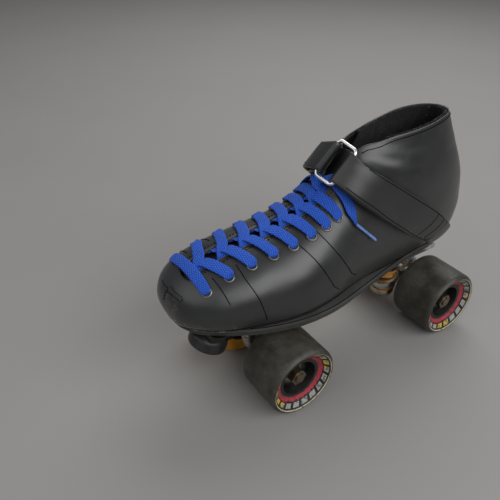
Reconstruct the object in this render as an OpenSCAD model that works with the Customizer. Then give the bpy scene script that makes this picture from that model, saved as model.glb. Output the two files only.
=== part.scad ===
// Quad speed skate for the left foot, in millimetres.
// +X points to the toe, +Y to the outer (lateral) side, +Z up. Z = 0 is the floor under the wheels.

/* [Boot] */
// Length of the boot from heel to toe
boot_length = 294; // [284:1:304]
// Width of the toe box
toe_width = 62; // [56:1:68]
// Width over the ball of the foot
ball_width = 96; // [90:1:102]
// Width of the waist
waist_width = 80; // [76:1:86]
// Width of the heel
heel_width = 74; // [70:1:78]
// Width of the collar rim
collar_width = 46; // [42:1:54]
// Height of the toe box above the welt
toe_height = 34; // [31:1:38]
// Height of the vamp above the welt, over the ball of the foot
vamp_height = 60; // [56:1:64]
// Height of the instep above the welt
instep_height = 85; // [81:1:89]
// Height of the collar above the welt, at the front
collar_front_height = 113; // [108:1:118]
// Height of the collar above the welt, at the back
collar_back_height = 121; // [115:1:128]
// Height of the heel's fullest point above the welt
heel_bulge_height = 42; // [38:1:46]
// Share of the boot's length that lies behind the front of the collar
collar_share = 0.4558; // [0.442:0.0001:0.469]
// How far the toe swings to the inner side
toe_swing = 12; // [8:1:16]
// Thickness of the leather
leather_t = 2.6; // [2:0.1:3.2]
// Thickness of the lining
lining_t = 2.4; // [1.6:0.1:3]
// Thickness of the tongue
tongue_t = 4; // [3:0.5:6]
// Width of the tongue
tongue_w = 38; // [34:1:42]
// Thickness of the insole
insole_t = 3; // [2:0.5:5]
// Play between soft layers
layer_gap = 0.3; // [0.2:0.05:0.5]

/* [Lacing] */
// Rows of eyelets
eyelet_rows = 8; // [6:1:9]
// Distance of the eyelets from the centre line
eyelet_setback = 25; // [23:0.5:28]
// Width of the open throat
throat_gap = 16; // [12:1:20]
// Bore of an eyelet
eyelet_bore_d = 5.2; // [4.8:0.1:6]
// Wall of an eyelet's barrel
eyelet_wall = 0.5; // [0.4:0.1:0.8]
// Outer diameter of an eyelet's flange
eyelet_flange_d = 8.6; // [8:0.1:10]
// Thickness of an eyelet's flange
eyelet_flange_t = 0.7; // [0.5:0.1:1]
// Width of the lace
lace_w = 9; // [7:0.5:10]
// Thickness of the lace
lace_t = 1.4; // [1:0.1:1.6]
// Length of an aglet
aglet_l = 27; // [20:1:30]
// Diameter of an aglet
aglet_d = 3.4; // [3:0.1:4]

/* [Ankle strap] */
// Thickness of the strap leather
strap_t = 2.2; // [1.6:0.1:2.6]
// Thickness of each half of the hook and loop closure
closure_t = 0.9; // [0.6:0.1:1.2]
// Inside length of the ring, along the strap's width
ring_inner_l = 29; // [27:0.5:34]
// Inside width of the ring
ring_inner_w = 16; // [14:0.5:20]
// Diameter of the ring's wire
ring_wire_d = 2.8; // [2.4:0.1:3.2]

/* [Sole] */
// Thickness of the outsole
outsole_t = 4.5; // [3.5:0.5:6]
// Thickness of the welt
welt_t = 2.5; // [2:0.5:4]
// How far the welt stands out past the outsole
welt_margin = 1.2; // [0.6:0.2:2]
// Width of the sole under the ball of the foot
sole_ball_width = 93; // [87:1:97]
// Width of the sole under the waist
sole_waist_width = 62; // [56:1:70]
// Width of the sole under the heel
sole_heel_width = 46; // [42:1:52]

/* [Plate] */
// Thickness of the plate
plate_t = 5; // [4:0.5:7]
// Width of the plate at the trucks
plate_pad_w = 44; // [40:1:46]
// Width of the plate between the trucks
plate_spine_w = 28; // [24:1:34]
// Depth of the two ribs under the spine
plate_rib_h = 8; // [5:1:10]
// Thickness of the ribs under the spine
plate_rib_t = 4; // [3:0.5:5]
// Height of the plate's top above the axles
deck_rise = 41; // [40:0.5:46]
// Shank diameter of a plate screw
screw_d = 5; // [4:0.5:6]
// Head diameter of a plate screw
screw_head_d = 9; // [8:0.5:10]
// Head height of a plate screw
screw_head_h = 2.4; // [2:0.2:3]

/* [Toe plug] */
// Diameter of the toe plug
plug_d = 32; // [28:1:36]
// Length of the toe plug's rubber
plug_l = 15; // [12:1:18]
// Forward lean of the toe plug
plug_tilt = 25; // [18:1:30]
// Diameter of the toe plug's bolt
plug_bolt_d = 8; // [6:0.5:10]

/* [Trucks] */
// Distance between the axles
wheelbase = 171.5; // [166:0.5:178]
// Place of the wheelbase's middle, ahead of the boot's middle
truck_mid_x = -17; // [-22:1:-12]
// Lean of the kingpins
kingpin_tilt = 18; // [14:1:22]
// Diameter of the kingpins
kingpin_d = 9.5; // [8:0.5:10]
// Distance from the axle to the middle of the hanger's ring
ring_offset = 23; // [22.5:0.5:26]
// Height of the middle of the hanger's ring above the axle
ring_rise = 4; // [3:0.5:6]
// Outer diameter of the hanger's ring
hanger_ring_d = 28; // [26:1:30]
// Bore of the hanger's ring
hanger_ring_bore = 16; // [14:0.5:18]
// Thickness of the hanger's ring
hanger_ring_t = 7; // [6:0.5:8]
// Diameter of the hanger's axle housing
housing_d = 14; // [13:0.5:15]
// Diameter of the cushions
cushion_d = 22; // [20:0.5:23]
// Length of the cushion above the ring
upper_cushion_l = 14; // [12:0.5:16]
// Length of the cushion under the ring
lower_cushion_l = 10; // [8:0.5:11]
// Thickness of the cushion retainers
retainer_t = 1.6; // [1.2:0.1:2.2]
// Depth of the retainers' lips
retainer_lip = 2.4; // [1.6:0.2:3]
// Distance from the axle to the ball of the pivot pin
pivot_offset = 13; // [12:0.5:15]
// Height of the ball of the pivot pin above the axle
pivot_rise = 22.5; // [21:0.5:24]
// Lean of the pivot pin
pivot_tilt = 12; // [8:1:16]
// Diameter of the pivot pin
pivot_pin_d = 8; // [7:0.5:9]
// Diameter of the pivot pin's ball
pivot_ball_d = 9.4; // [9.2:0.1:10.4]
// Outer diameter of the pivot cup
pivot_cup_d = 14; // [13:0.5:15]

/* [Wheels] */
// Diameter of the wheels
wheel_d = 62; // [58:1:64]
// Width of the wheels
wheel_w = 44; // [40:1:46]
// Overall width over the wheels
track_w = 128; // [126:1:134]
// Diameter of a wheel's flat side
side_face_d = 56; // [50:1:57]
// Run of the bevel from the tread to the side
tread_bevel = 3.5; // [2:0.5:5]
// Diameter of the hub under the tyre
core_d = 36; // [34:1:40]
// Wall of the hub's rim
core_wall = 2.2; // [1.6:0.2:3]
// Number of spokes in a hub
spokes = 8; // [5:1:10]
// Thickness of a spoke
spoke_t = 2.6; // [2:0.2:4]
// Diameter of the axles
axle_d = 8; // [7:0.5:8]
// Outer diameter of a bearing
bearing_od = 22; // [21:0.5:24]
// Width of a bearing
bearing_w = 7; // [6:0.5:8]
// Length of the spacer between two bearings
spacer_l = 13.5; // [11:0.5:16]
// Distance of the inner bearing from the wheel's inner side
bearing_inset = 1.5; // [1:0.5:3]
// Play of the running and press fits, on the radius
fit_gap = 0.03; // [0.02:0.01:0.08]

/* [Hidden] */
$fn = 48;
axle_z = wheel_d / 2;
deck_z = axle_z + deck_rise;
plate_z = deck_z - plate_t;
base_z = deck_z + outsole_t + welt_t;
toe_x = boot_length / 2;
heel_x = -boot_length / 2;
collar_x = heel_x + collar_share * boot_length;
front_axle_x = truck_mid_x + wheelbase / 2;
rear_axle_x = truck_mid_x - wheelbase / 2;
wheel_in_y = track_w / 2 - wheel_w;
wheel_out_y = track_w / 2;

function mix(a, b, t) = a + (b - a) * t;

// Places along the boot, behind the toe and ahead of the heel and the collar, drawn on a boot of this length
DRAWN_LENGTH = 294;
function toe_at(d) = toe_x - d * boot_length / DRAWN_LENGTH;
function heel_at(d) = heel_x + d * boot_length / DRAWN_LENGTH;
function collar_at(d) = collar_x + d * boot_length / DRAWN_LENGTH;

function unit(v) = v / norm(v);
function vamp_z(t) = mix(toe_height, vamp_height, t);
function instep_z(t) = mix(vamp_height, instep_height, t);
function shaft_z(t) = mix(instep_height, collar_front_height, t);
function back_z(t) = mix(heel_bulge_height, collar_back_height, t);
function ball_half(t) = mix(toe_width, ball_width, t) / 2;
function waist_half(t) = mix(ball_width, waist_width, t) / 2;
function heel_half(t) = mix(waist_width, heel_width, t) / 2;
function shaft_half(t) = mix(heel_width, collar_width, t) / 2;

// Sections of the boot from the toe, round under the foot, up to the collar. Each row has the foot of the
// section (x, z), its top (x, z), the offset of its middle, its half width, the share of its height at
// which it is widest, and the fullness of its lower and upper halves. Heights are above the welt.
SECTIONS = [
    [toe_x, 10, toe_x, 16, -toe_swing, 7, 0.5, 1, 1],
    [toe_at(3), 3, toe_at(3), 0.74 * toe_height, -toe_swing, 0.31 * toe_width, 0.45, 0.6, 0.9],
    [toe_at(12), 1, toe_at(12), toe_height, -toe_swing, toe_width / 2, 0.42, 0.36, 0.88],
    [toe_at(30), -1, toe_at(30), vamp_z(0.38), -0.85 * toe_swing, ball_half(0.59), 0.4, 0.24, 0.92],
    [toe_at(58), -2, toe_at(58), vamp_z(0.73), -0.5 * toe_swing, ball_half(0.88), 0.38, 0.18, 1],
    [toe_at(89), -3, toe_at(89), vamp_height, -0.17 * toe_swing, ball_half(1), 0.34, 0.17, 1.05],
    [toe_at(121), -4, collar_at(42), instep_z(0.44), 0, waist_half(0.4), 0.32, 0.22, 1.1],
    [toe_at(154), -4, collar_at(24), instep_height, 0, waist_half(1), 0.31, 0.34, 1.1],
    [heel_at(103), -5, collar_at(15), shaft_z(0.35), 0, heel_half(0.67), 0.33, 0.42, 1],
    [heel_at(66), -6, collar_at(10), shaft_z(0.56), 0, heel_half(1), 0.37, 0.52, 0.92],
    [heel_at(20), 0, collar_at(7), shaft_z(0.67), 0, heel_half(1), 0.42, 0.6, 0.9],
    [heel_at(3), 0.48 * heel_bulge_height, collar_at(5), shaft_z(0.75), 0, heel_half(1), 0.45, 0.75, 0.9],
    [heel_x, heel_bulge_height, collar_at(3.5), shaft_z(0.83), 0, shaft_half(0.1), 0.47, 0.9, 0.95],
    [heel_at(7), back_z(0.38), collar_at(2), shaft_z(0.9), 0, shaft_half(0.4), 0.46, 0.9, 1],
    [heel_at(20), back_z(0.7), collar_at(1), shaft_z(0.95), 0, shaft_half(0.7), 0.45, 0.9, 1.05],
    [heel_at(31), collar_back_height, collar_x, collar_front_height, 0, shaft_half(1), 0.44, 0.9, 1.1]
];
last_u = len(SECTIONS) - 1;

// Smooth curve through the rows of a table, at a place counted in rows
function spline(rows, u) =
    let (
        n = len(rows) - 1,
        i = max(0, min(floor(u), n - 1)),
        t = u - i,
        a = rows[max(i - 1, 0)],
        b = rows[i],
        c = rows[i + 1],
        d = rows[min(i + 2, n)]
    )
    b + 0.5 * t * (c - a + t * (2 * a - 5 * b + 4 * c - d + t * (3 * (b - c) + d - a)));

// Point of the boot at section u and angle f. The angle is 0 on the ridge and 180 under the foot, positive
// on the outer side. The inset is measured inwards from the outside of the leather.
function boot_point(u, f, inset = 0) =
    let (
        s = spline(SECTIONS, u),
        side = f < 0 ? -1 : 1,
        a = 90 - abs(f),
        height = norm([s[2] - s[0], s[3] - s[1]]),
        dir = [s[2] - s[0], s[3] - s[1]] / height,
        widest = mix(inset, height - inset, s[6]),
        t = a < 0 ? mix(widest, inset, sin(-a)) : mix(widest, height - inset, sin(a)),
        half = max(s[5] - inset, 0.5) * pow(max(cos(a), 0), a < 0 ? s[7] : s[8])
    )
    [s[0] + dir[0] * t, s[4] + side * half, base_z + max(s[1] + dir[1] * t, inset)];

function boot_along(u, f) = unit(boot_point(min(u + 0.02, last_u), f) - boot_point(max(u - 0.02, 0), f));
function boot_across(u, f) = unit(boot_point(u, f + 1) - boot_point(u, f - 1));
function boot_normal(u, f) = unit(cross(boot_across(u, f), boot_along(u, f)));
function on_boot(u, f, lift) = boot_point(u, f) + lift * boot_normal(u, f);

// Angle on section u at a distance from the middle of the boot
function angle_at(u, distance) =
    let (s = spline(SECTIONS, u))
    asin(pow(min(distance / s[5], 1), 1 / s[8]));

// Place of the throat's front end and of the first and last eyelets, in sections
throat_u = 2.25;
first_eyelet_u = 2.6;
last_eyelet_u = 6.6;
eyelet_spread = 0.85;
function eyelet_u(row) = mix(first_eyelet_u, last_eyelet_u, pow(row / (eyelet_rows - 1), eyelet_spread));
function eyelet_angle(row) = angle_at(eyelet_u(row), eyelet_setback);

lining_inset = leather_t + 3 * layer_gap;
tongue_drop = leather_t + lace_t + 5 * layer_gap;
insole_z = base_z + lining_inset + lining_t + layer_gap;

function flat_list(lists) = [for (list = lists) for (item = list) item];
function quad(a, b, c, d) = [[a, b, c], [a, c, d]];

// Closed slab between two grids of points. Rows run up the boot, and columns run from the inner to the
// outer side.
module slab(top, bottom) {
    n = len(top) - 1;
    m = len(top[0]) - 1;
    size = (n + 1) * (m + 1);
    function t(i, c) = i * (m + 1) + c;
    function b(i, c) = size + t(i, c);
    faces = flat_list(concat(
        [for (i = [0:n - 1]) for (c = [0:m - 1]) quad(t(i, c), t(i + 1, c), t(i + 1, c + 1), t(i, c + 1))],
        [for (i = [0:n - 1]) for (c = [0:m - 1]) quad(b(i, c), b(i, c + 1), b(i + 1, c + 1), b(i + 1, c))],
        [for (c = [0:m - 1]) quad(t(0, c), t(0, c + 1), b(0, c + 1), b(0, c))],
        [for (c = [0:m - 1]) quad(t(n, c + 1), t(n, c), b(n, c), b(n, c + 1))],
        [for (i = [0:n - 1]) quad(t(i + 1, 0), t(i, 0), b(i, 0), b(i + 1, 0))],
        [for (i = [0:n - 1]) quad(t(i, m), t(i + 1, m), b(i + 1, m), b(i, m))]
    ));
    polyhedron(points = concat(flat_list(top), flat_list(bottom)), faces = faces);
}

// Sock-shaped shell of the boot between two insets. It is closed over the toe and open along the throat,
// to edge_gap each side of the middle but no lower than EDGE_LIMIT, and at the collar. cap_u is where the
// hollow of the toe begins.
EDGE_LIMIT = 52;

module boot_shell(outer_inset, inner_inset, edge_gap, cap_u, sections, columns) {
    half = columns / 2;
    front = len([for (u = sections) if (u < throat_u) u]);
    rings = concat([for (u = sections) if (u < throat_u) u], [throat_u],
        [for (u = sections) if (u > throat_u) u]);
    n = len(rings) - 1;
    m = columns;
    function angle(u, c) =
        let (edge = min(angle_at(u, edge_gap), EDGE_LIMIT))
        c <= half ? mix(edge, 180, c / half) : -mix(180, edge, (c - half) / half);
    function hollow_u(u) =
        u < throat_u ? mix(cap_u, throat_u, (u - rings[0]) / (throat_u - rings[0])) : u;
    outer = [for (u = rings) concat(
        [for (c = [0:m]) boot_point(u, angle(u, c), outer_inset)],
        [boot_point(u, 0, outer_inset)])];
    inner = [for (u = rings) let (h = hollow_u(u)) concat(
        [for (c = [0:m]) boot_point(h, angle(h, c), inner_inset)],
        [boot_point(h, 0, inner_inset)])];
    ridge = m + 1;
    size = (n + 1) * (m + 2);
    function o(i, c) = i * (m + 2) + c;
    function k(i, c) = size + o(i, c);
    bridge = [[m, ridge], [ridge, 0]];
    faces = flat_list(concat(
        [for (i = [0:n - 1]) for (c = [0:m - 1]) quad(o(i, c), o(i + 1, c), o(i + 1, c + 1), o(i, c + 1))],
        [for (i = [0:n - 1]) for (c = [0:m - 1]) quad(k(i, c), k(i, c + 1), k(i + 1, c + 1), k(i + 1, c))],
        [for (i = [0:front - 1]) for (b = bridge)
            quad(o(i, b[0]), o(i + 1, b[0]), o(i + 1, b[1]), o(i, b[1]))],
        [for (i = [0:front - 1]) for (b = bridge)
            quad(k(i, b[0]), k(i, b[1]), k(i + 1, b[1]), k(i + 1, b[0]))],
        [for (b = bridge) quad(o(front, b[1]), o(front, b[0]), k(front, b[0]), k(front, b[1]))],
        [for (i = [front:n - 1]) quad(o(i + 1, 0), o(i, 0), k(i, 0), k(i + 1, 0))],
        [for (i = [front:n - 1]) quad(o(i, m), o(i + 1, m), k(i + 1, m), k(i, m))],
        [for (c = [0:m - 1]) quad(o(n, c + 1), o(n, c), k(n, c), k(n, c + 1))]
    ));
    caps = [[for (c = [0:ridge]) o(0, c)], [for (c = [ridge:-1:0]) k(0, c)]];
    polyhedron(points = concat(flat_list(outer), flat_list(inner)), faces = concat(faces, caps));
}

// Frame on the boot at section u and angle f: X towards the toe, Y to the outer side and Z out of the boot
module standing_on_boot(u, f) {
    x = -boot_along(u, f);
    z = boot_normal(u, f);
    y = cross(z, x);
    p = boot_point(u, f);
    multmatrix([[x[0], y[0], z[0], p[0]], [x[1], y[1], z[1], p[1]], [x[2], y[2], z[2], p[2]]]) children();
}

module at_eyelets() {
    for (row = [0:eyelet_rows - 1])
        for (side = [-1, 1])
            standing_on_boot(eyelet_u(row), side * eyelet_angle(row))
                children();
}

// Boot

UPPER_SECTIONS = concat([0, 0.3, 0.65], [for (u = [1:0.5:last_u]) u]);
LINING_SECTIONS = concat([1, 1.5], [for (u = [2:0.75:last_u - 1]) u], [last_u - 0.5, last_u - 0.12]);

module boot_upper() {
    bore_d = eyelet_bore_d + 2 * eyelet_wall + 2 * fit_gap;
    color("#232426")
        difference() {
            boot_shell(0, leather_t, throat_gap / 2, 0.55, UPPER_SECTIONS, 28);
            at_eyelets()
                cylinder(d = bore_d, h = 4 * leather_t, center = true);
        }
}

module boot_lining() {
    color("#17181a")
        boot_shell(lining_inset, lining_inset + lining_t, eyelet_setback + eyelet_flange_d / 2 + 2,
            1.35, LINING_SECTIONS, 18);
}

module tongue() {
    us = [for (u = [throat_u + 0.1:0.5:last_u - 3]) u];
    function row(u, drop) =
        let (edge = angle_at(u, tongue_w / 2))
        [for (c = [-4:4]) on_boot(u, edge * c / 4, -drop)];
    color("#1d1e20")
        slab([for (u = us) row(u, tongue_drop)], [for (u = us) row(u, tongue_drop + tongue_t)]);
}

module eyelets() {
    barrel_d = eyelet_bore_d + 2 * eyelet_wall;
    color("#8d8f90")
        at_eyelets()
            difference() {
                union() {
                    translate([0, 0, layer_gap])
                        cylinder(d1 = eyelet_flange_d, d2 = barrel_d, h = eyelet_flange_t);
                    translate([0, 0, -leather_t])
                        cylinder(d = barrel_d, h = leather_t + layer_gap + eyelet_flange_t / 2);
                }
                cylinder(d = eyelet_bore_d, h = 6 * leather_t, center = true);
            }
}

// Sole

// Outline of the sole from toe to heel: place along the boot, offset of the middle and half width
SOLE_ROWS = [
    [toe_at(7), -1.35 * toe_swing, 0],
    [toe_at(8), -1.3 * toe_swing, 8.5],
    [toe_at(11.5), -1.2 * toe_swing, 16],
    [toe_at(17.5), -1.05 * toe_swing, 23],
    [toe_at(35), -0.85 * toe_swing, 0.36 * sole_ball_width],
    [toe_at(58), -0.5 * toe_swing, 0.45 * sole_ball_width],
    [toe_at(89), -0.15 * toe_swing, sole_ball_width / 2],
    [toe_at(121), 0, 0.49 * sole_ball_width],
    [toe_at(154), 0, mix(sole_waist_width, sole_ball_width, 0.55) / 2],
    [heel_at(99), 0, sole_waist_width / 2],
    [heel_at(66), 0, mix(sole_heel_width, sole_waist_width, 0.3) / 2],
    [heel_at(40), 0, sole_heel_width / 2],
    [heel_at(27), 0, 0.37 * sole_heel_width],
    [heel_at(22), 0, 0.2 * sole_heel_width],
    [heel_at(21), 0, 0]
];
SOLE_STEP = 1 / 3;
SOLE_TIP = 0.4;

module sole_outline(margin) {
    rows = [for (u = [0:SOLE_STEP:len(SOLE_ROWS) - 1])
        let (row = spline(SOLE_ROWS, u))
        if (row[2] + margin > SOLE_TIP) row];
    middle = (rows[0][0] + rows[len(rows) - 1][0]) / 2;
    stretch = 1 + margin / (rows[0][0] - middle);
    function edge(row, side) = [middle + (row[0] - middle) * stretch, row[1] + side * (row[2] + margin)];
    n = len(rows) - 1;
    polygon(concat(
        [for (i = [0:n]) edge(rows[i], -1)],
        [for (i = [n:-1:0]) edge(rows[i], 1)]));
}

SCREWS = [for (x = [front_axle_x - 10, front_axle_x + 31, rear_axle_x + 50, rear_axle_x + 7])
    for (side = [-1, 1]) [x, side * (plate_pad_w / 2 - 6.5)]];
screw_top_z = base_z - 1;

module screw_bores(from_z) {
    for (p = SCREWS)
        translate([p[0], p[1], from_z])
            cylinder(d = screw_d + 2 * fit_gap, h = screw_top_z - from_z);
}

module outsole() {
    color("#1c1c1d")
        difference() {
            translate([0, 0, deck_z])
                linear_extrude(height = outsole_t)
                    sole_outline(0);
            screw_bores(deck_z - 1);
        }
}

module welt() {
    color("#2b2a29")
        difference() {
            translate([0, 0, deck_z + outsole_t])
                linear_extrude(height = welt_t)
                    sole_outline(welt_margin);
            screw_bores(deck_z);
        }
}

insole_margin = leather_t + lining_t + 10;

module insole() {
    color("#3a3632")
        translate([0, 0, insole_z])
            linear_extrude(height = insole_t)
                sole_outline(-insole_margin);
}

// Lace

// Stations of one run of the lace from the eyelet of one row, under the facing, up through the throat and
// over the other facing into the eyelet of the next row. Each is a section, an angle, a lift and a half
// width.
lace_over = lace_t / 2 + eyelet_flange_t + 2 * layer_gap;
lace_under = -(leather_t + lace_t / 2 + layer_gap);
lace_pinch = eyelet_bore_d / 2 - 0.95;

function eyelet_entry(row, side) =
    let (u = eyelet_u(row), f = side * eyelet_angle(row))
    [
        [u, 0.84 * f, lace_over, 0.42 * lace_w],
        [u, 0.955 * f, lace_over + 0.1, lace_pinch],
        [u, f, lace_over - lace_t / 2, lace_pinch],
        [u, f, -leather_t - layer_gap, lace_pinch]
    ];

function lace_run(row, side, above) =
    let (
        u = eyelet_u(row),
        step = eyelet_u(row + 1) - u,
        edge = angle_at(u + step / 2, throat_gap / 2)
    )
    concat(
        [
            [u, 0.94 * side * eyelet_angle(row), lace_under - lace_t / 3, lace_pinch],
            [u + 0.25 * step, 0.95 * side * edge, lace_under, 0.45 * lace_w],
            [u + 0.5 * step, 0, above ? lace_t / 2 : -lace_t, 0.45 * lace_w],
            [u + 0.75 * step, -0.95 * side * edge, lace_over, lace_w / 2]
        ],
        eyelet_entry(row + 1, -side)
    );

function lace_strand(side) =
    flat_list([for (row = [0:eyelet_rows - 2])
        let (even = row % 2 == 0)
        lace_run(row, even ? side : -side, even == (side > 0))]);

function lace_tail(side) =
    let (last_side = (eyelet_rows - 1) % 2 == 0 ? side : -side, row = eyelet_rows - 1, u = eyelet_u(row))
    [
        [u, 0.94 * last_side * eyelet_angle(row), lace_under, lace_pinch],
        [u + 0.12, 1.25 * last_side * angle_at(u, throat_gap / 2), lace_under, 0.4 * lace_w]
    ];

function reversed(list) = [for (i = [len(list) - 1:-1:0]) list[i]];

LACE_STATIONS = concat(
    reversed(lace_tail(1)),
    reversed(lace_strand(1)),
    reversed(eyelet_entry(0, 1)),
    [[first_eyelet_u, 0, lace_over, lace_w / 2]],
    eyelet_entry(0, -1),
    lace_strand(-1),
    lace_tail(-1)
);

// Flat band along stations of the boot, with its width up the boot
module boot_band(stations, thickness) {
    n = len(stations) - 1;
    points = [for (s = stations) on_boot(s[0], s[1], s[2])];
    function travel(i) = unit(points[min(i + 1, n)] - points[max(i - 1, 0)]);
    function ring(i) =
        let (
            t = travel(i),
            along = boot_along(stations[i][0], stations[i][1]),
            w = unit(along - t * (along * t)) * stations[i][3],
            h = unit(cross(t, w)) * thickness / 2
        )
        [points[i] + w + h, points[i] - w + h, points[i] - w - h, points[i] + w - h];
    sweep([for (i = [0:n]) ring(i)]);
}

// Closed solid through rings of points, each seen turning to the left along the way
module sweep(rings) {
    n = len(rings) - 1;
    m = len(rings[0]);
    function p(i, c) = i * m + c % m;
    sides = flat_list([for (i = [0:n - 1]) for (c = [0:m - 1])
        quad(p(i, c), p(i, c + 1), p(i + 1, c + 1), p(i + 1, c))]);
    caps = [[for (c = [m - 1:-1:0]) p(0, c)], [for (c = [0:m - 1]) p(n, c)]];
    polyhedron(points = flat_list(rings), faces = concat(sides, caps));
}

module lace() {
    color("#2c4fb8")
        boot_band(LACE_STATIONS, lace_t);
}

// Routes of the two free ends, from the throat under the strap to the aglets
OUTER_LACE_ROUTE = [
    [11.9, -7.9, 156.3], [10.6, -6, 158.6], [7, -3, 163.6], [6.6, 0, 167.8],
    [7.8, 3.6, 169], [8.6, 8, 168], [8.2, 12.6, 165.6], [7.4, 17.4, 162.4],
    [6.2, 21.8, 158.2], [5.2, 25.8, 152.8], [4.6, 29.8, 147], [4, 34, 140.6]
];
OUTER_AGLET_AIM = [-17, 40.4, 120];
INNER_LACE_ROUTE = [
    [12.6, 7.8, 155.7], [12.8, 5.4, 157.1], [13.5, 2.4, 159.6], [14.8, -0.8, 161.4],
    [13.4, -5, 164.6], [10.8, -9.8, 165.2], [9.4, -14.6, 163.2], [8.2, -19.2, 159.6],
    [7.2, -23.6, 155], [6.2, -27.8, 149.8], [5.8, -31.6, 143.6], [5.6, -35, 138]
];
INNER_AGLET_AIM = [-11.8, -41.2, 117.5];
LACE_END_SIDES = 8;
ankle_middle = [2, 0, 105];

// Flat tube along a route over the boot, drawn in to the aglet over its last steps
module lace_end(route, aim) {
    n = len(route) - 1;
    function travel(i) = i == n ? unit(aim - route[n]) : unit(route[i + 1] - route[max(i - 1, 0)]);
    function draw_in(i) = min(1, max(0, (n - i) / 3));
    function ring(i) =
        let (
            t = travel(i),
            w = unit(cross(t, route[i] - ankle_middle)),
            h = cross(w, t),
            half_w = mix(aglet_d / 2 - 0.1, lace_w / 2, draw_in(i)),
            half_t = mix(aglet_d / 2 - 0.1, lace_t / 2, draw_in(i))
        )
        [for (c = [0:LACE_END_SIDES - 1])
            let (a = -360 * c / LACE_END_SIDES)
            route[i] + w * half_w * cos(a) + h * half_t * sin(a)];
    color("#2c4fb8")
        sweep([for (i = [0:n]) ring(i)]);
}

module outer_lace_end() {
    lace_end(OUTER_LACE_ROUTE, OUTER_AGLET_AIM);
}

module inner_lace_end() {
    lace_end(INNER_LACE_ROUTE, INNER_AGLET_AIM);
}

module pointing(from, to) {
    d = to - from;
    translate(from)
        rotate([0, acos(d[2] / norm(d)), atan2(d[1], d[0])])
            children();
}

module aglets() {
    color("#b9c6ea")
        for (pair = [[OUTER_LACE_ROUTE, OUTER_AGLET_AIM], [INNER_LACE_ROUTE, INNER_AGLET_AIM]])
            let (from = pair[0][len(pair[0]) - 1])
                pointing(from, pair[1])
                    cylinder(d = aglet_d, h = aglet_l);
}

// Ankle strap

// Edges of the strap down the side of the boot: angle, and the sections of its lower and upper edges
STRAP_ROWS = [
    [14, 7.15, 10.35],
    [38, 7.5, 10.5],
    [60, 8.2, 10.5],
    [82, 8.9, 10.5],
    [112, 9.35, 10.4],
    [146, 9.5, 10.3]
];
STRAP_COLUMNS = 14;
STRAP_ACROSS = 4;
strap_end_row = len(STRAP_ROWS) - 1;
strap_start_row = 0.3;
flap_start_row = 0.55;
flap_end_row = 4.05;
sewn_end_row = 2;
ring_u = 8.4;
ring_f = 6;
ring_lift = 8;
bar_y = ring_inner_w / 2 + ring_wire_d / 2;
bar_x = ring_inner_l / 2 + ring_wire_d / 2;
ring_corner_r = 4;
fold_l = ring_inner_l - 3;
fold_r = ring_wire_d / 2 + 2 * layer_gap;
flap_hinge_y = bar_y + 3;
flap_hinge_z = fold_r + strap_t / 2;
bead_rise = 0.5;
strap_lift = layer_gap + 0.2;
closure_lift = strap_lift + strap_t + layer_gap;
flap_lift = closure_lift + 2 * closure_t + 2 * layer_gap;
closure_margin = 0.08;

// Settles from 1 beside the ring, where the lace lies under the strap, to 0 along the side of the boot
settle_from_row = 0.7;
settle_to_row = 2.3;
function settle(r) =
    let (t = min(1, max(0, (r - settle_from_row) / (settle_to_row - settle_from_row))))
    1 - t * t * (3 - 2 * t);

// Point in the frame of the ring: X towards the toe, Y to the outer side and Z out of the boot
function ring_point(p) =
    let (x = -boot_along(ring_u, ring_f), z = boot_normal(ring_u, ring_f))
    on_boot(ring_u, ring_f, ring_lift) + x * p[0] + cross(z, x) * p[1] + z * p[2];

// Column of points across the strap at row r. The tip narrows the strap towards a rounded end.
function strap_column(side, r, lift, margin, tip) =
    let (row = spline(STRAP_ROWS, r), trim = margin + 0.28 * tip * tip)
    [for (i = [0:STRAP_ACROSS])
        on_boot(mix(row[1], row[2], mix(trim, 1 - trim, i / STRAP_ACROSS)), side * row[0], lift)];

// Column of points across the strap beside the ring, at a distance and height from the ring's middle
function ring_column(side, y, z) =
    [for (i = [0:STRAP_ACROSS]) ring_point([fold_l * (0.5 - i / STRAP_ACROSS), side * y, z])];

// Grid of the strap through its columns, in the order that a slab takes them
function strap_grid(side, columns) =
    [for (i = [0:STRAP_ACROSS]) [for (c = side > 0 ? columns : reversed(columns)) c[i]]];

// Columns of a stretch of the strap that settles from one lift to another
function stretch_columns(side, from_r, to_r, lift, near_lift, margin, round_end) =
    [for (c = [0:STRAP_COLUMNS])
        let (
            r = mix(from_r, to_r, c / STRAP_COLUMNS),
            tip = round_end ? max(0, 1 - (to_r - r) / 0.35) : 0
        )
        strap_column(side, r, mix(lift, near_lift, settle(r)), margin, tip)];

// Patch that lies flat along the strap
module strap_patch(from_r, to_r, lift, thickness, margin) {
    slab(
        strap_grid(1, stretch_columns(1, from_r, to_r, lift + thickness, lift + thickness, margin, false)),
        strap_grid(1, stretch_columns(1, from_r, to_r, lift, lift, margin, false))
    );
}

// Columns round one bar of the ring, from above it to below it, at a distance from the bar
FOLD_STEPS = 8;
function fold_columns(side, r) =
    [for (i = [0:FOLD_STEPS])
        let (a = 90 + 180 * i / FOLD_STEPS)
        ring_column(side, bar_y + r * cos(a), r * sin(a))];

// Strap that runs from the sole up to the ring and turns round the ring's bar. The extra columns continue
// it past the turn: those on the face towards the bar, and those on the other face.
module turned_strap(side, near_columns, far_columns) {
    function under(rise) = stretch_columns(side, strap_start_row, strap_end_row, strap_lift + rise,
        ring_lift - fold_r - strap_t + rise, 0, false);
    slab(
        strap_grid(side, concat(near_columns, fold_columns(side, fold_r), under(strap_t))),
        strap_grid(side, concat(far_columns, fold_columns(side, fold_r + strap_t), under(0)))
    );
}

module at_ring() {
    standing_on_boot(ring_u, ring_f)
        translate([0, 0, ring_lift])
            children();
}

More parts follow.
